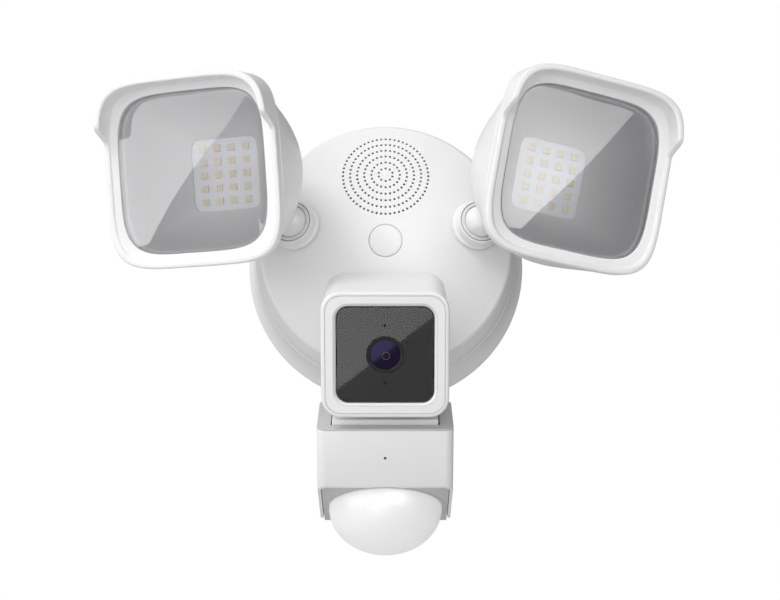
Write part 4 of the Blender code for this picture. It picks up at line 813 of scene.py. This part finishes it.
def lamp_window(side):
    front = -0.3 * MM
    back = front - WINDOW_THICKNESS
    rings = [
        squircle(WINDOW_HALF - 0.3 * MM, WINDOW_CORNER, back),
        squircle(WINDOW_HALF, WINDOW_CORNER, back + 0.3 * MM),
        squircle(WINDOW_HALF, WINDOW_CORNER, front - 0.35 * MM),
        squircle(WINDOW_HALF - 0.12 * MM, WINDOW_CORNER, front - 0.12 * MM),
        squircle(WINDOW_HALF - 0.4 * MM, WINDOW_CORNER, front),
    ]
    pane = loft("pane_" + side, rings, HEAD[side])
    fit(pane, "head_" + side, "clear_window", lamp_pane, "lamp_window_" + side)
    face_only(pane, HEAD[side], lamp_pane_back)


for side in SIDES:
    lamp_window(side)


# ---- Reflectors ----
# A four-sided funnel moulded in light grey plastic, from the window's back down to the lamp plate.
# The flange at its mouth is trapped between the frame and the bowl.

REFLECTOR_FRONT = -FRAME_DEPTH - GAP
REFLECTOR_DEPTH = 29.2 * MM
REFLECTOR_WALL = 1.2 * MM
FLANGE_CORNER = 3.6
THROAT_CORNER = 9
PLATE_HALF = 15.2 * MM

reflector_grey = moulded("reflector_grey", (0.84, 0.84, 0.845), (0.81, 0.81, 0.815), 0.5)


def reflector(side):
    back = REFLECTOR_FRONT - REFLECTOR_DEPTH
    mouth = WINDOW_HALF - 1.4 * MM
    throat = PLATE_HALF + 0.4 * MM
    flange = HEAD_HALF - HEAD_WALL - 1.0 * MM
    wall = REFLECTOR_WALL
    edge = REFLECTOR_FRONT - 0.4 * MM
    rings = [
        squircle(flange, FLANGE_CORNER, REFLECTOR_FRONT),
        squircle(mouth + 0.5 * MM, WINDOW_CORNER, REFLECTOR_FRONT),
    ]
    steps = 8
    for k in range(steps + 1):
        t = k / steps
        half = mouth + (throat - mouth) * t
        corner = WINDOW_CORNER + (THROAT_CORNER - WINDOW_CORNER) * t
        rings.append(squircle(half, corner, edge + (back - edge) * t))
    rings += [
        squircle(throat + wall, THROAT_CORNER, back),
        squircle(mouth + wall, WINDOW_CORNER, REFLECTOR_FRONT - wall),
        squircle(flange, FLANGE_CORNER, REFLECTOR_FRONT - wall),
    ]
    funnel = loft("funnel_" + side, rings, HEAD[side], looped=True)
    fit(funnel, "head_" + side, "reflector_white", reflector_grey, "reflector_" + side)


for side in SIDES:
    reflector(side)


# ---- Lamp plates ----
# An aluminium-cored board with a glossy white solder mask, and twenty square LED packages on it.
# Each package is a pale ceramic body with a pale yellow phosphor window in its top.

PLATE_FRONT = REFLECTOR_FRONT - REFLECTOR_DEPTH - GAP
PLATE_THICKNESS = 1.6 * MM
CHIP_HALF = 1.6 * MM
CHIP_HEIGHT = 0.8 * MM
CHIP_COLUMNS = 4
CHIP_ROWS = 5
COLUMN_PITCH = 6.75 * MM
ROW_PITCH = 5.75 * MM

solder_mask = moulded("white_solder_mask", (0.84, 0.84, 0.875), (0.82, 0.82, 0.86), 0.45)
chip_body = moulded("chip_ceramic", (0.86, 0.84, 0.78), (0.8, 0.78, 0.72), 0.4)
phosphor = moulded("phosphor", (0.8, 0.71, 0.52), (0.76, 0.67, 0.48), 0.35, 0.3 * MM, 0.05)


def rounded_rectangle(half_x, half_y, corner, height, steps=8):
    """A ring of points round a rectangle with round corners."""
    points = []
    for quarter in range(4):
        sign_x = 1 if quarter in (0, 3) else -1
        sign_y = 1 if quarter in (0, 1) else -1
        for i in range(steps + 1):
            angle = (quarter + i / steps) * 90 * DEG
            x = sign_x * (half_x - corner) + corner * math.cos(angle)
            y = sign_y * (half_y - corner) + corner * math.sin(angle)
            points.append(Vector((x, y, height)))
    return points


def slab(name, half_x, half_y, corner, low, high, place, edge=0.15 * MM):
    """A plate with round corners and a small round on its front edge."""
    rings = [
        rounded_rectangle(half_x, half_y, corner, low),
        rounded_rectangle(half_x, half_y, corner, high - edge),
        rounded_rectangle(half_x - 0.3 * edge, half_y - 0.3 * edge, corner, high - 0.3 * edge),
        rounded_rectangle(half_x - edge, half_y - edge, corner, high),
    ]
    return loft(name, rings, place)


def lamp_plate(side):
    half = PLATE_HALF + 1.6 * MM
    back = PLATE_FRONT - PLATE_THICKNESS
    board = slab("plate_" + side, half, half, 2 * MM, back, PLATE_FRONT, HEAD[side])
    fit(board, "head_" + side, "led_board", solder_mask, "led_board_" + side)
    for row in range(CHIP_ROWS):
        for column in range(CHIP_COLUMNS):
            x = (column - (CHIP_COLUMNS - 1) / 2) * COLUMN_PITCH
            y = (row - (CHIP_ROWS - 1) / 2) * ROW_PITCH
            spot = HEAD[side] @ Matrix.Translation((x, y, PLATE_FRONT))
            name = f"{side}_{row}_{column}"
            solder = 0.02 * MM
            chip = slab("chip_" + name, CHIP_HALF, CHIP_HALF, 0.3 * MM, solder, CHIP_HEIGHT, spot, 0.1 * MM)
            fit(chip, "head_" + side, "led_board", chip_body)
            half = CHIP_HALF - 0.3 * MM
            low = CHIP_HEIGHT - 0.1 * MM
            top = CHIP_HEIGHT + 0.05 * MM
            window = slab("phosphor_" + name, half, half, 0.4 * MM, low, top, spot, 0.04 * MM)
            fit(window, "head_" + side, "led_board", phosphor)


plain_aluminium = moulded("plain_aluminium", (0.8, 0.81, 0.82), (0.72, 0.73, 0.74), 0.4, Metallic=1.0)
for side in SIDES:
    lamp_plate(side)
    dress("heat_sink_" + side, plain_aluminium)


# ---- Arm under the base ----
# A short white moulding: a round knuckle on a steel pin between the drum's lugs, and an upright barrel
# on a second pin at the back of the sensor box. Together they aim the camera.

BOX_Y = Vector(joints["arm_pan"]["axis"]).normalized()
BOX_Z = Vector((1, 0, 0)).cross(BOX_Y)
BOX_TURN = Matrix(((1, 0, 0), BOX_Y, BOX_Z)).transposed().to_4x4()
ARM = Matrix.Translation(ARM_PIVOT) @ BOX_TURN
PAN = Matrix.Translation(Vector(joints["arm_pan"]["pos_m"])) @ BOX_TURN
KNUCKLE_RADIUS = 6.2 * MM
TONGUE_HALF = 5.7 * MM
BARREL_RADIUS = 5.0 * MM
BARREL_HALF = 6.0 * MM
PAN_PIN_RADIUS = 2.0 * MM


def block(name, low, high, place, rounding=0.0):
    bm = bmesh.new()
    bmesh.ops.create_cube(bm, size=1.0)
    low = Vector(low)
    high = Vector(high)
    bmesh.ops.scale(bm, vec=high - low, verts=bm.verts)
    bmesh.ops.translate(bm, vec=(low + high) / 2, verts=bm.verts)
    piece = piece_from(name, bm, place)
    if rounding:
        soften(piece, rounding)
    return piece


def rounded_rod(name, radius, low, high, place, edge, sides=72):
    """A turned bar with both ends rounded over."""
    profile = [
        (0, high),
        *arc(edge, 90 * DEG, 0, 4, (radius - edge, high - edge)),
        *arc(edge, 0, -90 * DEG, 4, (radius - edge, low + edge)),
        (0, low),
    ]
    return turned(name, profile, place, sides)


def sensor_arm():
    pan_in_arm = ARM.inverted() @ PAN.translation
    arm = rounded_rod("arm", KNUCKLE_RADIUS, -TONGUE_HALF, TONGUE_HALF, ARM @ ACROSS, 0.5 * MM)
    half = 4.2 * MM
    low = (-half, pan_in_arm.y - 4.6 * MM, 0)
    neck = block("tool", low, (half, 0.4 * MM, pan_in_arm.z), ARM, 0.8 * MM)
    barrel = rounded_rod("tool", BARREL_RADIUS, -BARREL_HALF, BARREL_HALF, PAN @ UPRIGHT, 0.4 * MM)
    cut(arm, neck, barrel, operation="UNION")
    hinge_bore = rod("tool", ARM_PIN_RADIUS + GAP, -20 * MM, 20 * MM, ARM @ ACROSS)
    pan_bore = rod("tool", PAN_PIN_RADIUS + GAP, -20 * MM, 20 * MM, PAN @ UPRIGHT)
    cut(arm, hinge_bore, pan_bore)
    fit(arm, "arm", "white_plastic", white_plastic, "sensor_arm")


sensor_arm()
dress("arm_pin", zinc)
dress("pan_pin", zinc)


# ---- Sensor box sleeve ----
# A white moulded sleeve round the front, sides and back of the box, cut to a slope underneath, with two
# lugs on its back for the arm's pin. A small microphone hole is drilled through its front.

BOX_AT = Vector((0, 13.2 * MM, 41.2 * MM))
BOX = PAN @ Matrix.Translation(BOX_AT)
BOX_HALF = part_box("sensor_shell")[1].x
BOX_DEPTH = 35.0 * MM
BOX_FRONT = 25.0 * MM
BOX_HEIGHT = 51.1 * MM
BOX_TAPER = 7.0 * MM
BOX_CORNER = 3.6 * MM
BOX_WALL = 1.3 * MM
LID_THICKNESS = 1.5 * MM
LID_EDGE = 0.55 * MM
MIC_UP = -12.6 * MM
MIC_RADIUS = 0.62 * MM
FOOT_BACK = BOX_DEPTH - BOX_TAPER
SLOPE = math.atan2(BOX_HEIGHT - BOX_FRONT, FOOT_BACK)
FACE = BOX @ Matrix.Translation((0, -BOX_FRONT, 0)) @ Matrix.Rotation(90 * DEG - SLOPE, 4, "X")


def box_section(inset, height):
    half_depth = BOX_DEPTH / 2
    ring = rounded_rectangle(BOX_HALF - inset, half_depth - inset, BOX_CORNER - inset * 0.6, 0)
    return [Vector((p.x, height, p.y - half_depth)) for p in ring]


def back_cutter(inset):
    rake = math.atan2(BOX_TAPER, BOX_HEIGHT)
    reach = 60 * MM
    place = BOX @ Matrix.Translation((0, 0, -BOX_DEPTH + inset)) @ Matrix.Rotation(rake, 4, "X")
    return block("tool", (-reach, -2 * reach, -reach), (reach, reach, 0), place)


DOME_AT = Matrix.Translation((0, -26.0 * MM, 0))
DOME_RADIUS = 23.8 * MM
POD_WALL = 1.2 * MM
POD_RADIUS = DOME_RADIUS + GAP + POD_WALL
POD_HEIGHT = 14.0 * MM


def sensor_sleeve():
    top = -LID_EDGE - 0.15 * MM
    foot = -BOX_HEIGHT
    sleeve = loft("sleeve", [box_section(0, top), box_section(0, foot)], BOX)
    hollow = loft("tool", [box_section(BOX_WALL, 10 * MM), box_section(BOX_WALL, foot - 10 * MM)], BOX)
    cut(hollow, back_cutter(BOX_WALL))
    reach = 60 * MM
    slope = block("tool", (-reach, -2 * reach, 0), (reach, reach, reach), FACE)
    cut(sleeve, back_cutter(0), hollow, slope)
    soften(sleeve, 0.35 * MM)
    root = -BOX_AT.z + 0.5 * MM
    wall = BOX_TAPER * BOX_AT.y / BOX_HEIGHT - BOX_DEPTH + BOX_WALL / 2
    back = wall - root + 0.5 * MM
    for sign in (-1, 1):
        near = sign * (BARREL_HALF + GAP)
        far = near + sign * 4.0 * MM
        low, high = sorted((near, far))
        eye = rounded_rod("tool", BARREL_RADIUS, low, high, PAN @ UPRIGHT, 0.4 * MM)
        stem = block("tool", (-BARREL_RADIUS, low, 0), (BARREL_RADIUS, high, back), PAN, 0.4 * MM)
        cut(sleeve, eye, stem, operation="UNION")
    bore = rod("tool", PAN_PIN_RADIUS + GAP, -20 * MM, 20 * MM, PAN @ UPRIGHT)
    pod = rod("tool", POD_RADIUS + GAP, -POD_HEIGHT - GAP, 10 * MM, FACE @ DOME_AT, 128)
    mic = rod("tool", MIC_RADIUS, -5 * MM, 5 * MM, BOX @ Matrix.Translation((0, MIC_UP, 0)), 24)
    cut(sleeve, bore, pod, mic)
    fit(sleeve, "sensor_box", "white_plastic", white_plastic, "sensor_shell")


sensor_sleeve()


# ---- Sensor box core and lid ----
# Two matt grey mouldings inside the sleeve: the lid with the camera's slot sunk in it, and the sloping
# plate underneath, which runs on into the round pod that holds the sensor dome.

SLOT_HALF = 22.3 * MM
SLOT_FRONT = 5.0 * MM
SLOT_BACK = 28.0 * MM
WELL_DEPTH = 8.0 * MM
DOME_SKIRT = 2.0 * MM

grey_plastic = moulded("grey_plastic", (0.56, 0.56, 0.565), (0.54, 0.54, 0.545), 0.45)


def sensor_lid():
    rings = [
        box_section(BOX_WALL + GAP, -LID_THICKNESS),
        box_section(BOX_WALL + GAP, -LID_EDGE),
        box_section(0, -LID_EDGE),
        box_section(0, -0.3 * MM),
        box_section(0.09 * MM, -0.09 * MM),
        box_section(0.3 * MM, 0),
    ]
    lid = loft("lid", rings, BOX)
    wall = 1.4 * MM
    low = (-SLOT_HALF - wall, -WELL_DEPTH - wall, -SLOT_BACK - wall)
    well = block("tool", low, (SLOT_HALF + wall, -0.5 * MM, -SLOT_FRONT + wall), BOX)
    cut(lid, well, operation="UNION")
    slot = block("tool", (-SLOT_HALF, -WELL_DEPTH, -SLOT_BACK), (SLOT_HALF, 5 * MM, -SLOT_FRONT), BOX)
    cut(lid, slot)
    fit(lid, "sensor_box", "grey_plastic", grey_plastic, "sensor_lid")


def sensor_core():
    length = math.hypot(BOX_HEIGHT - BOX_FRONT, FOOT_BACK)
    gap = BOX_WALL + GAP
    core = block("core", (-BOX_HALF, -length - 4 * MM, -2.2 * MM), (BOX_HALF, 5 * MM, -0.4 * MM), FACE)
    room = loft("tool", [box_section(gap, 10 * MM), box_section(gap, -BOX_HEIGHT - 10 * MM)], BOX)
    cut(core, room, operation="INTERSECT")
    cut(core, back_cutter(gap))
    body = rounded_rod("tool", POD_RADIUS, -POD_HEIGHT, 0, FACE @ DOME_AT, 0.5 * MM, 160)
    cut(core, body, operation="UNION")
    seat = rod("tool", DOME_RADIUS + GAP, -DOME_SKIRT - GAP, 10 * MM, FACE @ DOME_AT, 160)
    hollow = rod("tool", DOME_RADIUS - POD_WALL, POD_WALL - POD_HEIGHT, 10 * MM, FACE @ DOME_AT, 160)
    cut(core, seat, hollow)
    fit(core, "sensor_box", "grey_plastic", grey_plastic, "sensor_core")


sensor_lid()
sensor_core()
dress("heat_sensor", zinc)


# ---- Sensor dome ----
# The motion sensor's lens: a thin egg-shaped dome of milky polyethylene that clips into the pod.
# The material lets a little light into itself, and a faint painted glow (emission) is added as well, so its
# shaded side stays soft.

DOME_DEPTH = 19.2 * MM
DOME_WALL = 1.4 * MM

milky_lens_painted_glow = moulded(
    "milky_lens_painted_glow",
    (0.9, 0.9, 0.9),
    (0.885, 0.885, 0.885),
    0.28,
    relief=0.01,
    Subsurface_Weight=0.7,
    Subsurface_Scale=0.012,
    Subsurface_Radius=(1, 1, 1),
    # painted glow: a faint white emission brightens the dome, which is no lamp
    Emission_Color=(1, 1, 1, 1),
    Emission_Strength=0.26,
)


def sensor_dome():
    def shell(radius, depth):
        steps = 40
        turns = [90 * DEG * i / steps for i in range(steps + 1)]
        return [(radius * math.sin(t), depth * math.cos(t)) for t in turns]

    outside = shell(DOME_RADIUS, DOME_DEPTH)
    inside = shell(DOME_RADIUS - DOME_WALL, DOME_DEPTH - DOME_WALL)
    skirt = [(DOME_RADIUS, -DOME_SKIRT), (DOME_RADIUS - DOME_WALL, -DOME_SKIRT)]
    dome = turned("dome", outside + skirt + inside[::-1], FACE @ DOME_AT, 160)
    fit(dome, "sensor_box", "dome_plastic", milky_lens_painted_glow, "sensor_dome")


sensor_dome()


# ---- Camera foot ----
# A white block with a sloping top that fills the slot in the lid, and a tongue on it for the hinge pin.
# It is moulded in one piece and screwed down from inside the box.

HINGE = Vector(joints["camera_tilt"]["pos_m"])
FOOT_FRONT_TOP = 2.2 * MM
FOOT_BACK_TOP = 0.4 * MM
TONGUE_THICKNESS = 3.1 * MM
CAMERA_TONGUE_HALF = 6.8 * MM
HINGE_PIN_RADIUS = 1.5 * MM


def camera_foot():
    half = SLOT_HALF - 0.6 * MM
    front = -SLOT_FRONT - GAP
    back = -SLOT_BACK + GAP
    foot = -WELL_DEPTH + GAP
    bm = bmesh.new()
    outline = [(foot, front), (FOOT_FRONT_TOP, front), (FOOT_BACK_TOP, back), (foot, back)]
    corners = [[bm.verts.new((x, y, z)) for y, z in outline] for x in (-half, half)]
    bm.faces.new(corners[0])
    bm.faces.new(corners[1])
    for i in range(4):
        j = (i + 1) % 4
        bm.faces.new((corners[0][i], corners[0][j], corners[1][j], corners[1][i]))
    piece = piece_from("foot", bm, BOX)
    soften(piece, 0.5 * MM)
    pin = BOX.inverted() @ HINGE
    width = CAMERA_TONGUE_HALF
    place = BOX @ Matrix.Translation(pin) @ ACROSS
    tongue = rounded_rod("tool", TONGUE_THICKNESS, -width, width, place, 0.3 * MM)
    low = (-width, -2 * MM, pin.z - TONGUE_THICKNESS)
    stalk = block("tool", low, (width, pin.y, pin.z + TONGUE_THICKNESS), BOX)
    cut(piece, tongue, stalk, operation="UNION")
    hinge = Matrix.Translation(HINGE) @ ACROSS
    cut(piece, rod("tool", HINGE_PIN_RADIUS + GAP, -30 * MM, 30 * MM, hinge))
    fit(piece, "sensor_box", "white_plastic", white_plastic, "camera_foot")


camera_foot()
dress("hinge_saddle", zinc)
dress("camera_hinge_pin", zinc)


# ---- Camera case ----
# A white cube in two mouldings: a five-sided body with a rounded back, and a square front bezel with a
# fine groove near its edge and a bright chamfer round the window.

CAMERA_PITCH = 5.7 * DEG
CAMERA_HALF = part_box("camera_bezel")[1].x
CAMERA_CORNER = 8.0 * MM
CAMERA_DEPTH = 50.0 * MM
CAMERA_STEP = 0.4 * MM
CAMERA_WALL = 1.8 * MM
BEZEL_DEPTH = 4.5 * MM
WINDOW_EDGE = 19.4 * MM
WINDOW_ROUND = 4.6 * MM
GROOVE_INSET = 1.5 * MM
HINGE_UP = 6.0 * MM
HINGE_BACK = 17.0 * MM
CAMERA_TURN = BOX_TURN @ Matrix.Rotation(-CAMERA_PITCH, 4, "X")
FACE_CENTRE = (0, CAMERA_HALF - HINGE_UP, HINGE_BACK)
CAMERA = Matrix.Translation(HINGE) @ CAMERA_TURN @ Matrix.Translation(FACE_CENTRE)


def square_ring(inset, height, half=CAMERA_HALF, corner=CAMERA_CORNER):
    return rounded_rectangle(half - inset, half - inset, corner - inset, height, 12)


def camera_bezel():
    opening = WINDOW_EDGE + GAP
    opening_round = WINDOW_ROUND + GAP
    rings = [square_ring(0.3 * MM, -BEZEL_DEPTH), square_ring(0, -BEZEL_DEPTH + 0.3 * MM)]
    for across, up in arc(1.0 * MM, 0, 90 * DEG, 6, (-1.0 * MM, -1.0 * MM)):
        rings.append(square_ring(-across, up))
    rings += [
        square_ring(GROOVE_INSET, 0),
        square_ring(GROOVE_INSET + 0.03 * MM, -0.7 * MM),
        square_ring(GROOVE_INSET + 0.33 * MM, -0.7 * MM),
        square_ring(GROOVE_INSET + 0.36 * MM, 0),
        square_ring(-1.35 * MM, 0, opening, opening_round),
        square_ring(-1.3 * MM, -0.4 * MM, opening, opening_round),
        square_ring(-1.1 * MM, -0.4 * MM, opening, opening_round),
        square_ring(-1.0 * MM, -0.02 * MM, opening, opening_round),
        square_ring(-0.1 * MM, -0.85 * MM, opening, opening_round),
        square_ring(0, -1.1 * MM, opening, opening_round),
        square_ring(0, -BEZEL_DEPTH, opening, opening_round),
    ]
    bezel = loft("bezel", rings, CAMERA, looped=True, sharp=25)
    fit(bezel, "camera", "white_plastic", white_plastic, "camera_bezel")


def camera_body():
    front = -BEZEL_DEPTH - GAP
    half = CAMERA_HALF - CAMERA_STEP
    inside = half - CAMERA_WALL
    corner = CAMERA_CORNER - CAMERA_STEP
    rear = -CAMERA_DEPTH
    back_round = 2.6 * MM
    rings = []
    for across, up in arc(back_round, -88 * DEG, 0, 10, (-back_round, rear + back_round)):
        rings.append(square_ring(-across, up, half, corner))
    rings += [
        square_ring(0, front - 0.3 * MM, half, corner),
        square_ring(0.3 * MM, front, half, corner),
        square_ring(CAMERA_WALL, front, half, corner),
        rounded_rectangle(inside, inside, corner - CAMERA_WALL, rear + CAMERA_WALL + 0.5 * MM, 12),
    ]
    body = loft("camera_body", rings, CAMERA)
    room = TONGUE_THICKNESS + 2.2 * MM
    low = (-CAMERA_TONGUE_HALF - 1 * MM, -8 * MM, -room)
    high = (CAMERA_TONGUE_HALF + 1 * MM, 1 * MM, room)
    cut(body, block("tool", low, high, Matrix.Translation(HINGE) @ CAMERA_TURN))
    fit(body, "camera", "white_plastic", white_plastic, "camera_shell")


camera_bezel()
camera_body()


# ---- Camera window and lens ----
# A clear pane bonded over a dark printed mask. The lens sits behind a round opening in the mask, in a
# ribbed black ring, and two pinholes pass light to the status lamp and the light sensor.

PANE_FRONT = -0.6 * MM
PANE_BACK = -0.9 * MM
MASK_BACK = -1.8 * MM
LENS_RING_RADIUS = 7.5 * MM
LENS_RADIUS = 5.9 * MM
PINHOLE_UP = 11.9 * MM
PINHOLE_RADIUS = 0.62 * MM

camera_pane = clear_pane("camera_pane", (0.97, 0.97, 0.97), (0.5, 0.5, 0.505))
camera_pane_back = clear_back("camera_pane_back", (0.97, 0.97, 0.97))
dark_mask = moulded("dark_mask", (0.033, 0.033, 0.034), (0.03, 0.03, 0.031), 0.6, Specular_IOR_Level=0.1)
lens_black = moulded("lens_black", (0.012, 0.012, 0.013), (0.01, 0.01, 0.011), 0.5, Specular_IOR_Level=0.25)
coated_glass = moulded(
    "coated_glass", (0.017, 0.013, 0.034), (0.016, 0.012, 0.03), 0.04, relief=0.0, Metallic=1.0
)
bronze_ring = moulded("bronze_ring", (0.09, 0.07, 0.05), (0.06, 0.045, 0.035), 0.3, Metallic=0.7)


def camera_window():
    rings = [
        square_ring(0, PANE_BACK, WINDOW_EDGE, WINDOW_ROUND),
        square_ring(0, PANE_FRONT - 0.1 * MM, WINDOW_EDGE, WINDOW_ROUND),
        square_ring(0.1 * MM, PANE_FRONT, WINDOW_EDGE, WINDOW_ROUND),
    ]
    pane = loft("camera_glass", rings, CAMERA)
    spots = [CAMERA @ Matrix.Translation((0, up, 0)) for up in (-PINHOLE_UP, PINHOLE_UP)]
    lens_opening = rod("tool", LENS_RING_RADIUS + 0.1 * MM, -9 * MM, 9 * MM, CAMERA, 96)
    cut(pane, lens_opening, *[rod("tool", PINHOLE_RADIUS, -9 * MM, 9 * MM, spot, 24) for spot in spots])
    fit(pane, "camera", "black_gloss", camera_pane, "camera_window")
    face_only(pane, CAMERA, camera_pane_back)
    front = PANE_BACK - 0.05 * MM
    rings = [square_ring(0, height, WINDOW_EDGE, WINDOW_ROUND) for height in (MASK_BACK, front)]
    mask = loft("camera_mask", rings, CAMERA)
    floor = front - 0.6 * MM
    lens_opening = rod("tool", LENS_RING_RADIUS + 0.2 * MM, -9 * MM, 9 * MM, CAMERA, 96)
    cut(mask, lens_opening, *[rod("tool", PINHOLE_RADIUS, floor, 9 * MM, spot, 24) for spot in spots])
    fit(mask, "camera", "black_gloss", dark_mask)
    for index, spot in enumerate(spots):
        reach = PINHOLE_RADIUS - 0.04 * MM
        low = front - 0.55 * MM
        bead = rounded_rod(f"pinhole_{index}", reach, low, front - 0.2 * MM, spot, 0.1 * MM, 24)
        fit(bead, "camera", "black_plastic", lens_black)


def lens_ring():
    foot = PANE_FRONT - 3.2 * MM
    steps = 5
    step = (LENS_RING_RADIUS - LENS_RADIUS - 0.2 * MM) / steps
    ribs = []
    for k in range(steps):
        radius = LENS_RING_RADIUS - 0.1 * MM - k * step
        height = PANE_FRONT - 0.16 * MM * k
        ribs += [(radius, height), (radius - step * 0.55, height)]
    profile = [
        *ribs[::-1],
        (LENS_RING_RADIUS, PANE_FRONT - 0.1 * MM),
        (LENS_RING_RADIUS, foot),
        (LENS_RADIUS + 0.1 * MM, foot),
    ]
    ring = turned("lens_rim", profile, CAMERA, 96)
    fit(ring, "camera", "black_plastic", lens_black, "lens_ring")


def front_lens():
    edge = PANE_FRONT - 0.95 * MM
    rise = 0.01 * MM
    steps = 14
    crown = [(LENS_RADIUS * k / steps, edge + rise * (1 - (k / steps) ** 2)) for k in range(steps + 1)]
    profile = [*crown, (LENS_RADIUS, edge - 1.2 * MM), (0, edge - 1.2 * MM)]
    lens = turned("lens", profile, CAMERA, 96)
    fit(lens, "camera", "lens_glass", coated_glass, "front_lens")
    iris_place = CAMERA @ Matrix.Translation((0.35 * MM, -0.6 * MM, 0))
    iris = turned("iris_ring", arc(0.13 * MM, 0, 330 * DEG, 11, (1.5 * MM, edge)), iris_place, 64)
    fit(iris, "camera", "lens_glass", bronze_ring)


camera_window()
lens_ring()
front_lens()
dress("lens_barrel", lens_black)


# ---- Studio ----
# A pale floor and backdrop, a broad soft key from the upper left and a weak front fill. The room's own
# light fades from the left front to the right back, and three light panels stand where the panes mirror them.

camera_data = bpy.data.cameras.new("view")
camera_data.lens = 73.85
camera_data.sensor_width = 36
viewpoint = link("view", camera_data)
viewpoint.location = (1.95 * MM, -735.4 * MM, -171.7 * MM)
viewpoint.rotation_euler = (102.01 * DEG, 0, 0)
bpy.context.scene.camera = viewpoint
bpy.context.scene.view_settings.view_transform = "Standard"


def sheet(name, width, height, place, material):
    bm = bmesh.new()
    bmesh.ops.create_grid(bm, x_segments=1, y_segments=1, size=0.5)
    bmesh.ops.scale(bm, vec=(width, height, 1), verts=bm.verts)
    panel = piece_from(name, bm, place)
    panel.data.materials.append(material)
    return panel


pale_grey = (0.8, 0.8, 0.8)
floor_paint = moulded("floor_paint", pale_grey, pale_grey, 0.9, 8 * MM, 0.0)
sheet("floor", 14, 14, Matrix.Translation((0, 0, -1.1)), floor_paint)


def soft_light(name, at, towards, size, power):
    light = bpy.data.lights.new(name, "AREA")
    light.shape = "DISK"
    light.size = size
    light.energy = power
    lamp = link(name, light)
    lamp.location = at
    lamp.rotation_euler = (Vector(towards) - Vector(at)).to_track_quat("-Z", "Y").to_euler()
    lamp.visible_glossy = False


soft_light("key", (-1.1, -1.3, 1.5), (0, 0, 0), 0.9, 18)
soft_light("front_fill", (-0.6, -2.2, -0.2), (0, 0, -0.03), 1.6, 8)

world = bpy.data.worlds.new("room")
bpy.context.scene.world = world
world.use_nodes = True
room = world.node_tree.nodes
room_wires = world.node_tree.links
dim = room["Background"]
set_sockets(dim, {"Color": (1, 1, 1, 1)})
towards = add(room, "VectorMath")
towards.operation = "DOT_PRODUCT"
towards.inputs[1].default_value = (-0.72, -0.62, -0.1)
grade = add(room, "MapRange", From_Min=-1.0, To_Min=0.1, To_Max=1.0)
direction = add(room, "TexCoord")
room_wires.new(direction.outputs["Generated"], towards.inputs[0])
room_wires.new(towards.outputs["Value"], grade.inputs["Value"])
room_wires.new(grade.outputs["Result"], dim.inputs["Strength"])
bright = add(room, "Background", Color=(1, 1, 1, 1), Strength=1.0)
ray = add(room, "LightPath")
choose = add(room, "MixShader")
room_wires.new(ray.outputs["Is Camera Ray"], choose.inputs["Fac"])
room_wires.new(dim.outputs["Background"], choose.inputs[1])
room_wires.new(bright.outputs["Background"], choose.inputs[2])
room_wires.new(choose.outputs["Shader"], room["World Output"].inputs["Surface"])


def glow(name, strong, weak):
    """An even light that fades from one side of its panel to the other."""
    material, nodes, wires, shader = blank_finish(name)
    nodes.remove(shader)
    lamp = add(nodes, "Emission")
    coords = add(nodes, "TexCoord")
    split = add(nodes, "SeparateXYZ")
    fade = add(nodes, "MapRange", To_Min=weak, To_Max=strong)
    wires.new(coords.outputs["Generated"], split.inputs["Vector"])
    wires.new(split.outputs["X"], fade.inputs["Value"])
    wires.new(fade.outputs["Result"], lamp.inputs["Strength"])
    wires.new(lamp.outputs["Emission"], nodes["Material Output"].inputs["Surface"])
    return material


PANEL_REACH = 2.0


def mirrored_panel(name, pane, start, end, strong, weak):
    """A light panel whose mirror image in a pane fills one side of the line from start to end.

    start and end are points on the pane, in millimetres in the pane's own frame. The panel stands
    PANEL_REACH times as far from the viewpoint's mirror image as the pane does."""
    eye = viewpoint.location
    origin = pane.translation
    normal = (pane.to_3x3() @ Vector((0, 0, 1))).normalized()
    mirror_eye = eye - normal * (2 * (eye - origin).dot(normal))

    def thrown(point):
        spot = pane @ Vector((point[0] * MM, point[1] * MM, 0))
        return mirror_eye + (spot - mirror_eye) * PANEL_REACH

    a = thrown(start)
    b = thrown(end)
    middle = (a + b) / 2
    along = (b - a).normalized()
    away = (middle - mirror_eye).normalized()
    outward = along.cross(away).normalized()
    away = outward.cross(along).normalized()
    length = (b - a).length * 5
    depth = (b - a).length * 4
    turn = Matrix((along, outward, away)).transposed().to_4x4()
    place = Matrix.Translation(middle + outward * depth / 2) @ turn
    panel = sheet(name, length, depth, Matrix.Identity(4), glow(name, strong, weak))
    panel.matrix_world = place
    panel.visible_camera = False
    panel.visible_diffuse = False
    panel.visible_shadow = False
    panel.visible_transmission = False


mirrored_panel("panel_camera", CAMERA, (19.8, 16.0), (-18.1, -13.4), 3.4, 1.5)
mirrored_panel("panel_left", HEAD["left"], (28.8, 28.5), (-29.7, -27.4), 4.5, 2.5)
mirrored_panel("panel_right", HEAD["right"], (23.7, 30.8), (-25.6, -30.8), 5.0, 3.0)

bpy.context.view_layer.update()
